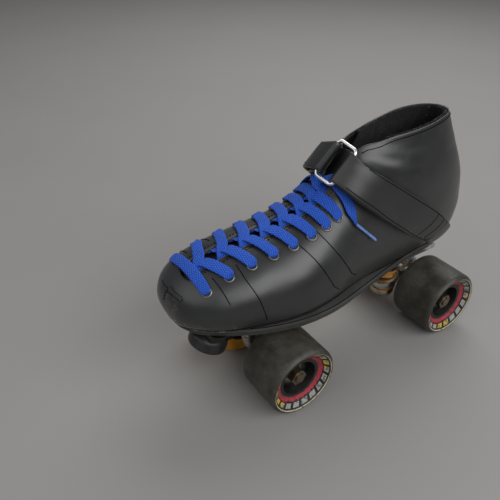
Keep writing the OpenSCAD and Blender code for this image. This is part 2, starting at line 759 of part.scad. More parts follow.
module strap_ring() {
    wire_r = ring_wire_d / 2;
    color("#c9c9c6")
        at_ring()
            for (turn = [0, 180])
                rotate([0, 0, turn]) {
                    translate([0, bar_y, 0])
                        rotate([0, 90, 0])
                            cylinder(r = wire_r, h = 2 * (bar_x - ring_corner_r), center = true);
                    translate([bar_x, 0, 0])
                        rotate([90, 0, 0])
                            cylinder(r = wire_r, h = 2 * (bar_y - ring_corner_r), center = true);
                    for (side = [0, 1])
                        mirror([0, side, 0])
                            translate([bar_x - ring_corner_r, bar_y - ring_corner_r, 0])
                                rotate_extrude(angle = 90)
                                    translate([ring_corner_r, 0])
                                        circle(r = wire_r);
                }
}

// Strap on the outer side, which ends in its turn round the ring
module ankle_strap() {
    color("#232426")
        turned_strap(1, [], []);
}

module loop_patch() {
    color("#151515")
        strap_patch(settle_to_row, flap_end_row + 0.1, closure_lift, closure_t, closure_margin);
}

// Loose end of the strap. Its first edge is a bead on the line that it lifts about.
module strap_flap() {
    start_z = flap_hinge_z - strap_t / 2;
    function grid(rise) = strap_grid(1, concat(
        [ring_column(1, flap_hinge_y, start_z + rise)],
        stretch_columns(1, flap_start_row, flap_end_row, flap_lift + rise, ring_lift + start_z + rise, 0,
            true)));
    color("#232426") {
        slab(grid(strap_t), grid(0));
        at_ring()
            translate([0, flap_hinge_y, flap_hinge_z])
                rotate([0, 90, 0])
                    cylinder(d = strap_t + bead_rise, h = fold_l - 1, center = true);
    }
}

module hook_patch() {
    color("#151515")
        strap_patch(settle_to_row + 0.3, flap_end_row - 0.4, flap_lift - closure_t - layer_gap, closure_t,
            closure_margin);
}

// Strap on the inner side, which turns round the ring and is sewn down on itself
module ring_strap() {
    function over(rise) = reversed(stretch_columns(-1, strap_start_row, sewn_end_row, closure_lift + rise,
        ring_lift + fold_r + rise, 0, false));
    color("#232426")
        turned_strap(-1, over(0), over(strap_t));
}

// Plate

module at_truck(front) {
    translate([front ? front_axle_x : rear_axle_x, 0, axle_z])
        mirror([front ? 1 : 0, 0, 0])
            children();
}

module at_trucks() {
    for (front = [false, true])
        at_truck(front)
            children();
}

module at_kingpin() {
    translate([ring_offset, 0, ring_rise])
        rotate([0, kingpin_tilt, 0])
            children();
}

module at_pivot() {
    translate([-pivot_offset, 0, pivot_rise])
        rotate([0, -pivot_tilt, 0])
            children();
}

upper_cushion_z = hanger_ring_t / 2 + layer_gap;
kingpin_boss_z = upper_cushion_z + upper_cushion_l + retainer_t;
lower_cushion_z = -(hanger_ring_t / 2 + layer_gap + lower_cushion_l);
kingpin_nut_z = lower_cushion_z - retainer_t;
kingpin_nut_h = 6;
kingpin_boss_d = cushion_d + 1;
pivot_cup_h = 8;
pivot_wall = 2;
boss_reach = deck_rise;
plug_x = toe_x - 35;
plug_boss_d = 18;
plug_boss_l = 5;
plate_front_x = plug_x + 13;
plate_back_x = rear_axle_x - pivot_offset - 9;
rib_y = plate_spine_w / 2 - plate_rib_t;

module at_plug() {
    translate([plug_x, 0, plate_z])
        rotate([0, 180 - plug_tilt, 0])
            children();
}

// Plan of the plate: two pads joined by a spine, with slots between them
module plate_plan() {
    pad_r = 10;
    ends = [[plate_back_x, rear_axle_x + 58], [front_axle_x - 42, plate_front_x]];
    difference() {
        union() {
            for (e = ends)
                for (side = [-1, 1])
                    for (x = [e[0] + pad_r, e[1] - pad_r])
                        translate([x, side * (plate_pad_w / 2 - pad_r)])
                            circle(r = pad_r);
            for (e = ends) {
                translate([e[0] + pad_r, -plate_pad_w / 2])
                    square([e[1] - e[0] - 2 * pad_r, plate_pad_w]);
                translate([e[0], -plate_pad_w / 2 + pad_r])
                    square([e[1] - e[0], plate_pad_w - 2 * pad_r]);
            }
            translate([ends[0][0] + pad_r, -plate_spine_w / 2])
                square([ends[1][1] - ends[0][0] - 2 * pad_r, plate_spine_w]);
        }
        slot_w = 2 * rib_y - 4;
        for (x = [truck_mid_x - 14, truck_mid_x + 14])
            translate([x, 0])
                for (end = [-1, 1]) {
                    translate([end * 5, 0])
                        circle(d = slot_w);
                    square([10, slot_w], center = true);
                }
    }
}

module plate() {
    rib_l = wheelbase - 2 * ring_offset - 30;
    color("#b9b2a4")
        difference() {
            union() {
                translate([0, 0, plate_z])
                    linear_extrude(height = plate_t)
                        plate_plan();
                for (side = [-1, 1])
                    translate([truck_mid_x, side * rib_y + plate_rib_t / 2, plate_z])
                        rotate([90, 0, 0])
                            linear_extrude(height = plate_rib_t)
                                polygon([[-rib_l / 2, 1], [rib_l / 2, 1], [rib_l / 2 - 4, -plate_rib_h],
                                    [rib_l / 6, -0.6 * plate_rib_h], [-rib_l / 6, -0.6 * plate_rib_h],
                                    [4 - rib_l / 2, -plate_rib_h]]);
                at_trucks() {
                    at_kingpin()
                        translate([0, 0, kingpin_boss_z])
                            cylinder(d = kingpin_boss_d, h = boss_reach);
                    at_pivot()
                        cylinder(d = pivot_cup_d + 2 * pivot_wall, h = boss_reach);
                }
                at_plug()
                    translate([0, 0, -boss_reach / 2])
                        cylinder(d = plug_boss_d, h = boss_reach / 2 + plug_boss_l);
            }
            translate([-boot_length, -boot_length, deck_z])
                cube([2 * boot_length, 2 * boot_length, 2 * boss_reach]);
            for (p = SCREWS)
                translate([p[0], p[1], plate_z - 1]) {
                    cylinder(d = screw_d + 2 * fit_gap, h = plate_t + 2);
                    cylinder(d = screw_head_d + 2 * layer_gap, h = 1 + screw_head_h);
                }
            at_trucks() {
                at_kingpin()
                    cylinder(d = kingpin_d + 2 * fit_gap, h = kingpin_boss_z + 10);
                at_pivot()
                    translate([0, 0, -1])
                        cylinder(d = pivot_cup_d + 2 * fit_gap, h = 1 + pivot_cup_h);
            }
            at_plug()
                translate([0, 0, -2])
                    cylinder(d = plug_bolt_d + 2 * fit_gap, h = 20);
        }
}

module plate_screws() {
    color("#8a8a88")
        for (p = SCREWS)
            translate([p[0], p[1], plate_z]) {
                cylinder(d = screw_d, h = screw_top_z - plate_z - 0.5);
                cylinder(d = screw_head_d, h = screw_head_h);
            }
}

plug_r = plug_d / 2;
plug_face_z = plug_boss_l + plug_l;
plug_bolt_head_d = 14;
plug_bolt_head_h = 5;
plug_recess = plug_bolt_head_h + 1.5;

module toe_plug() {
    waist_r = plug_boss_d / 2 + 1;
    bore_r = plug_bolt_d / 2 + layer_gap;
    recess_r = plug_bolt_head_d / 2 + 0.6;
    color("#161616")
        at_plug()
            rotate_extrude()
                polygon([[bore_r, plug_boss_l], [waist_r, plug_boss_l],
                    [plug_r, plug_boss_l + 0.4 * plug_l], [plug_r, plug_face_z - 2],
                    [plug_r - 2, plug_face_z], [recess_r, plug_face_z],
                    [recess_r, plug_face_z - plug_recess], [bore_r, plug_face_z - plug_recess]]);
}

module toe_plug_bolt() {
    seat_z = plug_face_z - plug_recess;
    color("#9a9a98")
        at_plug() {
            translate([0, 0, -1.5])
                cylinder(d = plug_bolt_d, h = seat_z + 2.5);
            translate([0, 0, seat_z])
                cylinder(d = plug_bolt_head_d, h = plug_bolt_head_h, $fn = 6);
        }
}

// Truck parts held by the plate

module kingpins() {
    thread_end = kingpin_nut_z - kingpin_nut_h - 2;
    color("#a8a8a6")
        at_trucks()
            at_kingpin()
                translate([0, 0, thread_end])
                    cylinder(d = kingpin_d, h = kingpin_boss_z + 9.5 - thread_end);
}

module kingpin_nuts() {
    color("#9b9a96")
        at_trucks()
            at_kingpin()
                translate([0, 0, kingpin_nut_z - kingpin_nut_h])
                    difference() {
                        cylinder(d = 1.75 * kingpin_d, h = kingpin_nut_h, $fn = 6);
                        translate([0, 0, -1])
                            cylinder(d = kingpin_d + 2 * fit_gap, h = kingpin_nut_h + 2);
                    }
}

module cushion(from_z, length) {
    bore_r = kingpin_d / 2 + layer_gap;
    end_r = cushion_d / 2 - 1;
    translate([0, 0, from_z])
        rotate_extrude()
            polygon([[bore_r, 0], [end_r, 0], [cushion_d / 2, 0.3 * length], [cushion_d / 2, 0.7 * length],
                [end_r, length], [bore_r, length]]);
}

module front_upper_cushion() {
    color("#c98a2b")
        at_truck(true)
            at_kingpin()
                cushion(upper_cushion_z, upper_cushion_l);
}

module front_lower_cushion() {
    color("#c98a2b")
        at_truck(true)
            at_kingpin()
                cushion(lower_cushion_z, lower_cushion_l);
}

module rear_upper_cushion() {
    color("#c98a2b")
        at_truck(false)
            at_kingpin()
                cushion(upper_cushion_z, upper_cushion_l);
}

module rear_lower_cushion() {
    color("#c98a2b")
        at_truck(false)
            at_kingpin()
                cushion(lower_cushion_z, lower_cushion_l);
}

// Cup washer whose lip opens upwards
module retainer() {
    bore_r = kingpin_d / 2 + fit_gap;
    lip_r = cushion_d / 2 + layer_gap;
    rim_r = lip_r + 0.8;
    rim_z = retainer_t + retainer_lip;
    rotate_extrude()
        polygon([[bore_r, 0], [lip_r, 0], [rim_r, retainer_t], [rim_r, rim_z], [lip_r, rim_z],
            [lip_r, retainer_t], [bore_r, retainer_t]]);
}

module cushion_retainers() {
    color("#c2a878")
        at_trucks()
            at_kingpin() {
                translate([0, 0, kingpin_boss_z])
                    mirror([0, 0, 1])
                        retainer();
                translate([0, 0, kingpin_nut_z])
                    retainer();
            }
}

module pivot_cups() {
    color("#242424")
        at_trucks()
            at_pivot()
                difference() {
                    translate([0, 0, 0.2])
                        cylinder(d = pivot_cup_d, h = pivot_cup_h - 0.2);
                    sphere(d = pivot_ball_d + 4 * fit_gap);
                }
}

// Trucks

housing_half = wheel_in_y + bearing_inset - 2.5;
pivot_boss_d = pivot_pin_d + 5;
pivot_boss_top = -13;
pivot_boss_l = 12;
web_w = 20;

module hanger(front) {
    ring_r = hanger_ring_d / 2;
    housing_r = housing_d / 2;
    near = [ring_offset - (ring_r - 1) * cos(kingpin_tilt), ring_rise + (ring_r - 1) * sin(kingpin_tilt)];
    face = [sin(kingpin_tilt), cos(kingpin_tilt)] * (hanger_ring_t / 2 - 0.4);
    color("#b9b2a4")
        at_truck(front)
            difference() {
                union() {
                    rotate([90, 0, 0])
                        cylinder(d = housing_d, h = 2 * housing_half, center = true);
                    at_kingpin()
                        cylinder(d = hanger_ring_d, h = hanger_ring_t, center = true);
                    rotate([90, 0, 0])
                        linear_extrude(height = web_w, center = true)
                            polygon([near + face, near - face, [0.95 * housing_r, -0.2 * housing_r],
                                [0.5 * housing_r, -0.8 * housing_r], [-0.5 * housing_r, -0.8 * housing_r],
                                [-0.95 * housing_r, 0], [-0.7 * housing_r, 0.9 * housing_r]]);
                    at_pivot()
                        translate([0, 0, pivot_boss_top - pivot_boss_l])
                            cylinder(d = pivot_boss_d, h = pivot_boss_l);
                }
                rotate([90, 0, 0])
                    cylinder(d = axle_d + 2 * fit_gap, h = track_w, center = true);
                at_kingpin()
                    cylinder(d = hanger_ring_bore, h = 2 * hanger_ring_t, center = true);
                at_pivot()
                    translate([0, 0, pivot_boss_top - 8])
                        cylinder(d = pivot_pin_d + 2 * fit_gap, h = 20);
            }
}

module front_hanger() {
    hanger(true);
}

module rear_hanger() {
    hanger(false);
}

module pivot_pin(front) {
    color("#b5b5b2")
        at_truck(front)
            at_pivot() {
                translate([0, 0, pivot_boss_top - 7.5])
                    cylinder(d = pivot_pin_d, h = 7.5 - pivot_boss_top - pivot_ball_d / 4);
                sphere(d = pivot_ball_d);
            }
}

module front_pivot_pin() {
    pivot_pin(true);
}

module rear_pivot_pin() {
    pivot_pin(false);
}

module pivot_nut(front) {
    color("#9b9a96")
        at_truck(front)
            at_pivot()
                translate([0, 0, pivot_boss_top])
                    difference() {
                        cylinder(d = 1.7 * pivot_pin_d, h = 4.5, $fn = 6);
                        translate([0, 0, -1])
                            cylinder(d = pivot_pin_d + 2 * fit_gap, h = 7);
                    }
}

module front_pivot_nut() {
    pivot_nut(true);
}

module rear_pivot_nut() {
    pivot_nut(false);
}

inner_bearing_y = wheel_in_y + bearing_inset;
outer_bearing_y = inner_bearing_y + bearing_w + spacer_l;
axle_nut_y = outer_bearing_y + bearing_w + 0.9;
axle_nut_h = 7;
axle_half = axle_nut_y + axle_nut_h + 1.5;

module axle(front) {
    color("#a8a8a6")
        at_truck(front)
            rotate([90, 0, 0])
                cylinder(d = axle_d, h = 2 * axle_half, center = true);
}

module front_axle() {
    axle(true);
}

module rear_axle() {
    axle(false);
}

// Frame on one side of an axle, with Z outwards along the axle
module on_axle(front, side) {
    at_truck(front)
        rotate([-90 * side, 0, 0])
            children();
}

module ring(outer_r, inner_r, length) {
    difference() {
        cylinder(r = outer_r, h = length);
        translate([0, 0, -1])
            cylinder(r = inner_r, h = length + 2);
    }
}

race_t = 0.15 * (bearing_od - axle_d);
inner_race_r = axle_d / 2 + race_t;
outer_race_r = bearing_od / 2 - race_t / 1.4;

module inner_races(front) {
    color("#b0b0ae")
        for (side = [-1, 1])
            on_axle(front, side)
                for (y = [inner_bearing_y, outer_bearing_y])
                    translate([0, 0, y])
                        ring(inner_race_r, axle_d / 2 + fit_gap, bearing_w);
}

module front_inner_races() {
    inner_races(true);
}

module rear_inner_races() {
    inner_races(false);
}

module bearing_spacers(front) {
    color("#989896")
        for (side = [-1, 1])
            on_axle(front, side) {
                translate([0, 0, inner_bearing_y + bearing_w])
                    ring(inner_race_r - 0.4, axle_d / 2 + fit_gap, spacer_l);
                translate([0, 0, housing_half])
                    ring(inner_race_r, axle_d / 2 + fit_gap, inner_bearing_y - housing_half);
            }
}

module front_bearing_spacers() {
    bearing_spacers(true);
}

module rear_bearing_spacers() {
    bearing_spacers(false);
}

module axle_nuts(front) {
    color("#c4c2bc")
        for (side = [-1, 1])
            on_axle(front, side) {
                translate([0, 0, axle_nut_y - 0.9])
                    ring(inner_race_r + 0.6, axle_d / 2 + fit_gap, 0.9);
                translate([0, 0, axle_nut_y])
                    difference() {
                        cylinder(d = 1.8 * axle_d, h = axle_nut_h, $fn = 6);
                        translate([0, 0, -1])
                            cylinder(d = axle_d + 2 * fit_gap, h = axle_nut_h + 2);
                    }
            }
}

module front_axle_nuts() {
    axle_nuts(true);
}

module rear_axle_nuts() {
    axle_nuts(false);
}

// Wheels

barrel_r = bearing_od / 2 + 2.4;
hub_in_y = wheel_in_y + 1;
hub_out_y = wheel_out_y - 2.5;
seat_lip = 1.2;

module tyre(front, side, tint) {
    bore_r = core_d / 2 + fit_gap;
    face_r = side_face_d / 2;
    tread_r = wheel_d / 2;
    color(tint)
        on_axle(front, side)
            rotate_extrude($fn = 96)
                polygon([[bore_r, wheel_in_y], [face_r, wheel_in_y], [tread_r, wheel_in_y + tread_bevel],
                    [tread_r, wheel_out_y - tread_bevel], [face_r, wheel_out_y], [bore_r, wheel_out_y]]);
}

module hub(front, side) {
    barrel_from = inner_bearing_y;
    barrel_to = outer_bearing_y + bearing_w;
    seat_r = bearing_od / 2 + fit_gap;
    spoke_l = core_d / 2 - core_wall / 2 - barrel_r + 1;
    color("#1a1a1b")
        on_axle(front, side)
            difference() {
                union() {
                    translate([0, 0, hub_in_y])
                        ring(core_d / 2, core_d / 2 - core_wall, hub_out_y - hub_in_y);
                    translate([0, 0, barrel_from])
                        cylinder(r = barrel_r, h = barrel_to - barrel_from);
                    translate([0, 0, barrel_from + 1])
                        for (i = [0:spokes - 1])
                            rotate([0, 0, 360 * i / spokes])
                                translate([barrel_r - 1, -spoke_t / 2, 0])
                                    cube([spoke_l, spoke_t, barrel_to - barrel_from - 2]);
                }
                translate([0, 0, barrel_from - 1])
                    cylinder(r = seat_r, h = bearing_w + 1);
                translate([0, 0, outer_bearing_y])
                    cylinder(r = seat_r, h = bearing_w + 1);
                translate([0, 0, barrel_from])
                    cylinder(r = seat_r - seat_lip, h = barrel_to - barrel_from);
            }
}

// Outer races, shields and balls of the two bearings of a wheel
module bearings(front, side) {
    balls = 7;
    pitch_r = (inner_race_r + outer_race_r) / 2;
    ball_r = (outer_race_r - inner_race_r) / 2 - 0.12;
    shield_t = 0.5;
    color("#8f8f8d")
        on_axle(front, side)
            for (y = [inner_bearing_y, outer_bearing_y])
                translate([0, 0, y]) {
                    difference() {
                        cylinder(r = bearing_od / 2, h = bearing_w);
                        translate([0, 0, -1])
                            cylinder(r = inner_race_r + 0.35, h = bearing_w + 2);
                        translate([0, 0, shield_t + 0.3])
                            cylinder(r = outer_race_r, h = bearing_w - 2 * shield_t - 0.6);
                    }
                    for (i = [0:balls - 1])
                        rotate([0, 0, 360 * i / balls])
                            translate([pitch_r, 0, bearing_w / 2])
                                sphere(r = ball_r);
                }
}

grey_tint = "#6b665c";
amber_tint = "#d58a1c";

module front_lateral_tyre() {
    tyre(true, 1, grey_tint);
}

module front_medial_tyre() {
    tyre(true, -1, amber_tint);
}

module rear_lateral_tyre() {
    tyre(false, 1, grey_tint);
}

module rear_medial_tyre() {
    tyre(false, -1, amber_tint);
}

module front_lateral_hub() {
    hub(true, 1);
}

module front_medial_hub() {
    hub(true, -1);
}

module rear_lateral_hub() {
    hub(false, 1);
}

module rear_medial_hub() {
    hub(false, -1);
}

module front_lateral_bearings() {
    bearings(true, 1);
}

module front_medial_bearings() {
    bearings(true, -1);
}

module rear_lateral_bearings() {
    bearings(false, 1);
}

module rear_medial_bearings() {
    bearings(false, -1);
}

boot_upper();
boot_lining();
tongue();
insole();
outsole();
welt();
eyelets();
lace();
outer_lace_end();
inner_lace_end();
aglets();
ankle_strap();
loop_patch();
ring_strap();
strap_ring();
strap_flap();
hook_patch();
plate();
plate_screws();
toe_plug();
toe_plug_bolt();
kingpins();
kingpin_nuts();
cushion_retainers();
pivot_cups();
front_upper_cushion();
front_lower_cushion();
rear_upper_cushion();
rear_lower_cushion();
front_hanger();
front_pivot_pin();
front_pivot_nut();
front_axle();
front_inner_races();
front_bearing_spacers();
front_axle_nuts();
rear_hanger();
rear_pivot_pin();
rear_pivot_nut();
rear_axle();
rear_inner_races();
rear_bearing_spacers();
rear_axle_nuts();
front_lateral_tyre();
front_lateral_hub();
front_lateral_bearings();
front_medial_tyre();
front_medial_hub();
front_medial_bearings();
rear_lateral_tyre();
rear_lateral_hub();
rear_lateral_bearings();
rear_medial_tyre();
rear_medial_hub();
rear_medial_bearings();
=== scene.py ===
"""Dresses the solids of a quad speed skate: leather boot, laces, ankle strap, plate, trucks and wheels."""

import math
import random

import bmesh
import bpy
from bpy.props import FloatProperty, FloatVectorProperty, IntProperty, PointerProperty
from mathutils import Matrix, Vector, noise


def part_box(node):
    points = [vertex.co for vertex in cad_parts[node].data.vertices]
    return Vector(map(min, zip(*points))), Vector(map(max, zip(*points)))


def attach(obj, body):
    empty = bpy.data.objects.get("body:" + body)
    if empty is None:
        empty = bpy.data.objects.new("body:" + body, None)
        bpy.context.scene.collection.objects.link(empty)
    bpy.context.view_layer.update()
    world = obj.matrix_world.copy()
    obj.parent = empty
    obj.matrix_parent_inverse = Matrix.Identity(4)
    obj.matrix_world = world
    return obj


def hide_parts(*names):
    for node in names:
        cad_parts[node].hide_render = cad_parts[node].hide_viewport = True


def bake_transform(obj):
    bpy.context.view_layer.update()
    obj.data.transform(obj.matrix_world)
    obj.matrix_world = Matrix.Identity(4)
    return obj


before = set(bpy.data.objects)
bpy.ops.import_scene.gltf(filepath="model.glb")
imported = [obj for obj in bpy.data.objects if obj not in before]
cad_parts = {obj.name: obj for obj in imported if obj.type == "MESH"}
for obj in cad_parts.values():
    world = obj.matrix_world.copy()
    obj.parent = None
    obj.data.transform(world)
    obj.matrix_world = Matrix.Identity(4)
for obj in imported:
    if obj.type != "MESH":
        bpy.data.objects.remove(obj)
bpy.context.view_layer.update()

bl_info = {
    "name": "Quad speed skate",
    "version": (1, 0, 0),
    "blender": (4, 5, 0),
    "location": "3D View > Sidebar > Skate",
    "description": "Builds the visible pieces of a quad speed skate around its solid parts",
    "category": "Add Mesh",
}

MM = 0.001


def colour(name, description, default):
    return FloatVectorProperty(
        name=name, description=description, default=default, subtype="COLOR", size=3, min=0, max=1
    )


def length(name, description, millimetres):
    return FloatProperty(
        name=name, description=description, default=millimetres * MM, unit="LENGTH", min=0
    )


class SkateColours(bpy.types.PropertyGroup):
    leather: colour("Leather", "Dyed boot leather", (0.0122, 0.0127, 0.0132))
    strap: colour("Strap", "Dyed strap leather", (0.0088, 0.0092, 0.0096))
    scuff: colour("Scuffs", "Leather where the dye is rubbed away", (0.115, 0.108, 0.100))
    fleck: colour("Flecks", "Pale specks and knocks on the leather", (0.42, 0.41, 0.39))
    raw: colour("Cut leather", "Undyed leather at cut edges", (0.050, 0.046, 0.040))
    pile: colour("Pile", "Lining of the boot", (0.0032, 0.0030, 0.0032))
    lint: colour("Lint", "Loose fluff on the lining", (0.34, 0.33, 0.31))
    tongue: colour("Tongue", "Facing of the tongue", (0.013, 0.012, 0.011))
    insole: colour("Insole", "Cloth on the insole", (0.060, 0.052, 0.044))
    sole: colour("Sole", "Rubber of the outsole", (0.036, 0.036, 0.034))
    plug: colour("Toe plug", "Rubber of the toe plug", (0.010, 0.010, 0.011))
    dust: colour("Dust", "Dust on the outsole", (0.075, 0.070, 0.062))
    thread: colour("Thread", "Sewing thread", (0.004, 0.004, 0.005))
    lace: colour("Lace", "Woven lace", (0.015, 0.105, 0.62))
    aglet: colour("Aglet", "Plastic film round the lace tips", (0.12, 0.23, 0.55))
    closure: colour("Closure", "Hook and loop cloth", (0.010, 0.010, 0.011))
    cast: colour("Cast metal", "Polished plate and hangers", (0.70, 0.67, 0.61))
    steel: colour("Steel", "Pins, bolts and spacers", (0.46, 0.41, 0.34))
    axle: colour("Axles", "Axles and their nuts", (0.26, 0.21, 0.15))
    chrome: colour("Chrome", "Plated strap ring", (0.93, 0.91, 0.86))
    nickel: colour("Nickel", "Plated eyelets", (0.26, 0.26, 0.25))
    retainer: colour("Retainers", "Plated cups of the cushions", (0.62, 0.55, 0.42))
    cushion: colour("Cushions", "Urethane cushions", (0.55, 0.25, 0.045))
    grey_tyre: colour("Grey tyres", "Urethane of the outer wheels", (0.026, 0.024, 0.017))
    amber_tyre: colour("Amber tyres", "Urethane of the inner wheels", (0.60, 0.24, 0.018))
    hub: colour("Hubs", "Nylon of the hubs", (0.0075, 0.0078, 0.0082))
    band: colour("Face band", "Ring round the hub on the side of a tyre", (0.42, 0.030, 0.055))
    band_dark: colour("Dark band", "Ground of the blocks on the side of a tyre", (0.004, 0.004, 0.005))
    band_pale: colour("Pale band", "Pale blocks on the side of a tyre", (0.34, 0.35, 0.33))
    band_warm: colour("Warm band", "Yellow parts of the blocks", (0.58, 0.40, 0.06))
    band_line: colour("Face line", "Thin line at the edge of the side", (0.52, 0.47, 0.32))
    floor: colour("Floor", "Studio floor", (0.29, 0.279, 0.268))


class SkateSizes(bpy.types.PropertyGroup):
    leather_t: length("Leather", "Thickness of the boot leather", 2.4)
    strap_t: length("Strap", "Thickness of the strap leather", 2.2)
    lace_w: length("Lace width", "Width of the flat lace", 9)
    lace_t: length("Lace thickness", "Thickness of the flat lace", 1.4)
    aglet_d: length("Aglet", "Diameter of an aglet", 2.4)
    aglet_l: length("Aglet length", "Length of an aglet", 27)
    stitch_l: length("Stitch", "Length of one stitch", 2.1)
    thread_d: length("Thread", "Diameter of the sewing thread", 0.7)
    wire_d: length("Ring wire", "Diameter of the strap ring's wire", 2.8)
    edge_r: length("Edges", "Rounding of cast and turned edges", 0.45)
    eyelet_rows: IntProperty(
        name="Eyelet rows", description="Pairs of eyelets up the throat", default=8, min=6, max=9
    )


# Boot surface in millimetres, as the solids have it. A row holds the foot of a section (x, z), its top
# (x, z), the offset of its middle, its half width, the share of the height at which it is widest, and
# the fullness of its lower and upper halves.
SECTIONS = (
    (147, 10, 147, 16, -12, 7, 0.5, 1, 1),
    (144, 3, 144, 25.16, -12, 19.22, 0.45, 0.6, 0.9),
    (135, 1, 135, 34, -12, 31, 0.42, 0.36, 0.88),
    (117, -1, 117, 43.88, -10.2, 41.03, 0.4, 0.24, 0.92),
    (89, -2, 89, 52.98, -6, 45.96, 0.38, 0.18, 1),
    (58, -3, 58, 60, -2.04, 48, 0.34, 0.17, 1.05),
    (26, -4, 29, 71, 0, 44.8, 0.32, 0.22, 1.1),
    (-7, -4, 11, 85, 0, 40, 0.31, 0.34, 1.1),
    (-44, -5, 2, 94.8, 0, 38, 0.33, 0.42, 1),
    (-81, -6, -3, 100.68, 0, 37, 0.37, 0.52, 0.92),
    (-127, 0, -6, 103.76, 0, 37, 0.42, 0.6, 0.9),
    (-144, 20.16, -8, 106, 0, 37, 0.45, 0.75, 0.9),
    (-147, 42, -9.5, 108.24, 0, 35.6, 0.47, 0.9, 0.95),
    (-140, 72.02, -11, 110.2, 0, 31.4, 0.46, 0.9, 1),
    (-127, 97.3, -12, 111.6, 0, 27.2, 0.45, 0.9, 1.05),
    (-116, 121, -13, 113, 0, 23, 0.44, 0.9, 1.1),
)
BASE_Z = 79
LAST_U = len(SECTIONS) - 1
RIM_STEP = 0.3
THROAT_U = 2.25
THROAT_GAP = 16
EDGE_LIMIT = 52
EYELET_SETBACK = 25
EYELET_BORE = 5.2
EYELET_FLANGE = 8.6
FLANGE_T = 0.7
CAD_LEATHER = 2.6
PLAY = 0.3
FIRST_EYELET_U = 2.6
LAST_EYELET_U = 6.6
EYELET_SPREAD = 0.85
# Radius that a turned piece keeps free on its axis
AXIS_GAP = 0.05
# Spacing of the stitches in half lengths, their width, and how deep they and the dark lines lie
STITCH_SPACING = 2.55
STITCH_SPREAD = 1.15
STITCH_SINK = 0.3
LINE_SINK = 0.4
# Rounded copies of the solids: how far apart points are merged, and the angles of flat and sharp edges
MERGE_GAP = 0.01
FLAT_DEG = 1
SHARP_DEG = 32


def mix(a, b, t):
    return a + (b - a) * t


def ease(t):
    t = min(1, max(0, t))
    return t * t * (3 - 2 * t)


def spline(rows, u):
    """Smooth curve through the rows of a table, at a place counted in rows."""
    last = len(rows) - 1
    i = max(0, min(math.floor(u), last - 1))
    t = u - i
    near = (rows[max(i - 1, 0)], rows[i], rows[i + 1], rows[min(i + 2, last)])
    return [
        b + 0.5 * t * (c - a + t * (2 * a - 5 * b + 4 * c - d + t * (3 * (b - c) + d - a)))
        for a, b, c, d in zip(*near)
    ]


def boot_point(u, f, inset=0):
    """Point at section u and angle f: 0 on the ridge, 180 under the foot, positive on the outer side."""
    if u > LAST_U:
        end = boot_point(LAST_U, f, inset)
        return end + (end - boot_point(LAST_U - RIM_STEP, f, inset)) * (u - LAST_U) / RIM_STEP
    s = spline(SECTIONS, u)
    side = -1 if f < 0 else 1
    a = math.radians(90 - abs(f))
    rise = Vector((s[2] - s[0], s[3] - s[1]))
    height = rise.length
    rise /= height
    widest = mix(inset, height - inset, s[6])
    t = mix(widest, inset, math.sin(-a)) if a < 0 else mix(widest, height - inset, math.sin(a))
    half = max(s[5] - inset, 0.5) * max(math.cos(a), 0) ** (s[7] if a < 0 else s[8])
    return Vector((s[0] + rise.x * t, s[4] + side * half, BASE_Z + max(s[1] + rise.y * t, inset)))


def boot_along(u, f):
    u = min(max(u, 0.02), LAST_U - 0.02)
    return (boot_point(u + 0.02, f) - boot_point(u - 0.02, f)).normalized()


def boot_normal(u, f):
    across = boot_point(u, f + 1) - boot_point(u, f - 1)
    return across.cross(boot_along(u, f)).normalized()


def on_boot(u, f, lift):
    return boot_point(u, f) + lift * boot_normal(u, f)


def angle_at(u, distance):
    """Angle on section u at a distance from the middle of the boot."""
    s = spline(SECTIONS, u)
    return math.degrees(math.asin(min(distance / s[5], 1) ** (1 / s[8])))


def foot_angle(u, height):
    """Angle at which the side of section u is at a height above the welt."""
    low, high = 60, 179
    for _ in range(24):
        middle = (low + high) / 2
        if boot_point(u, middle).z - BASE_Z > height:
            low = middle
        else:
            high = middle
    return low


def eyelet_u(row, rows):
    return mix(FIRST_EYELET_U, LAST_EYELET_U, (row / (rows - 1)) ** EYELET_SPREAD)


def eyelet_angle(row, rows):
    return angle_at(eyelet_u(row, rows), EYELET_SETBACK)


def frame_at(point, x, z):
    """Placing matrix whose X and Z lie along the given directions."""
    x = x.normalized()
    y = z.cross(x).normalized()
    z = x.cross(y)
    return Matrix.Translation(point) @ Matrix((x, y, z)).transposed().to_4x4()


# Making of meshes, in millimetres


def loft(rings, closed=True, capped=True, hole=None):
    """Grid drawn through rings of points, with a UV map of millimetres across and along."""
    rows = len(rings) - 1
    columns = len(rings[0]) - (0 if closed else 1)
    bm = bmesh.new()
    bmesh.ops.create_grid(bm, x_segments=columns, y_segments=rows, size=1)
    uv = bm.loops.layers.uv.new("UVMap")
    place = {}
    for v in bm.verts:
        place[v] = (round((v.co.y + 1) / 2 * rows), round((v.co.x + 1) / 2 * columns))
    middle = [sum(ring, Vector()) / len(ring) for ring in rings]
    travel = [0]
    for a, b in zip(middle, middle[1:]):
        travel.append(travel[-1] + (b - a).length)
    widest = max(rings, key=lambda ring: (ring[0] - ring[len(ring) // 2]).length)
    reach = [0]
    for a, b in zip(widest, widest[1:] + widest[:1]):
        reach.append(reach[-1] + (b - a).length)
    if hole:
        gone = [
            face for face in bm.faces
            if hole(min(place[v][0] for v in face.verts), min(place[v][1] for v in face.verts))
        ]
        bmesh.ops.delete(bm, geom=gone, context="FACES")
    for face in bm.faces:
        for corner in face.loops:
            row, column = place[corner.vert]
            corner[uv].uv = (reach[column], travel[row])
    for v in bm.verts:
        row, column = place[v]
        v.co = rings[row][column % len(rings[row])]
    bmesh.ops.remove_doubles(bm, verts=bm.verts, dist=0.001)
    if capped:
        bmesh.ops.holes_fill(bm, edges=[e for e in bm.edges if e.is_boundary], sides=0)
    bmesh.ops.recalc_face_normals(bm, faces=bm.faces)
    return bm


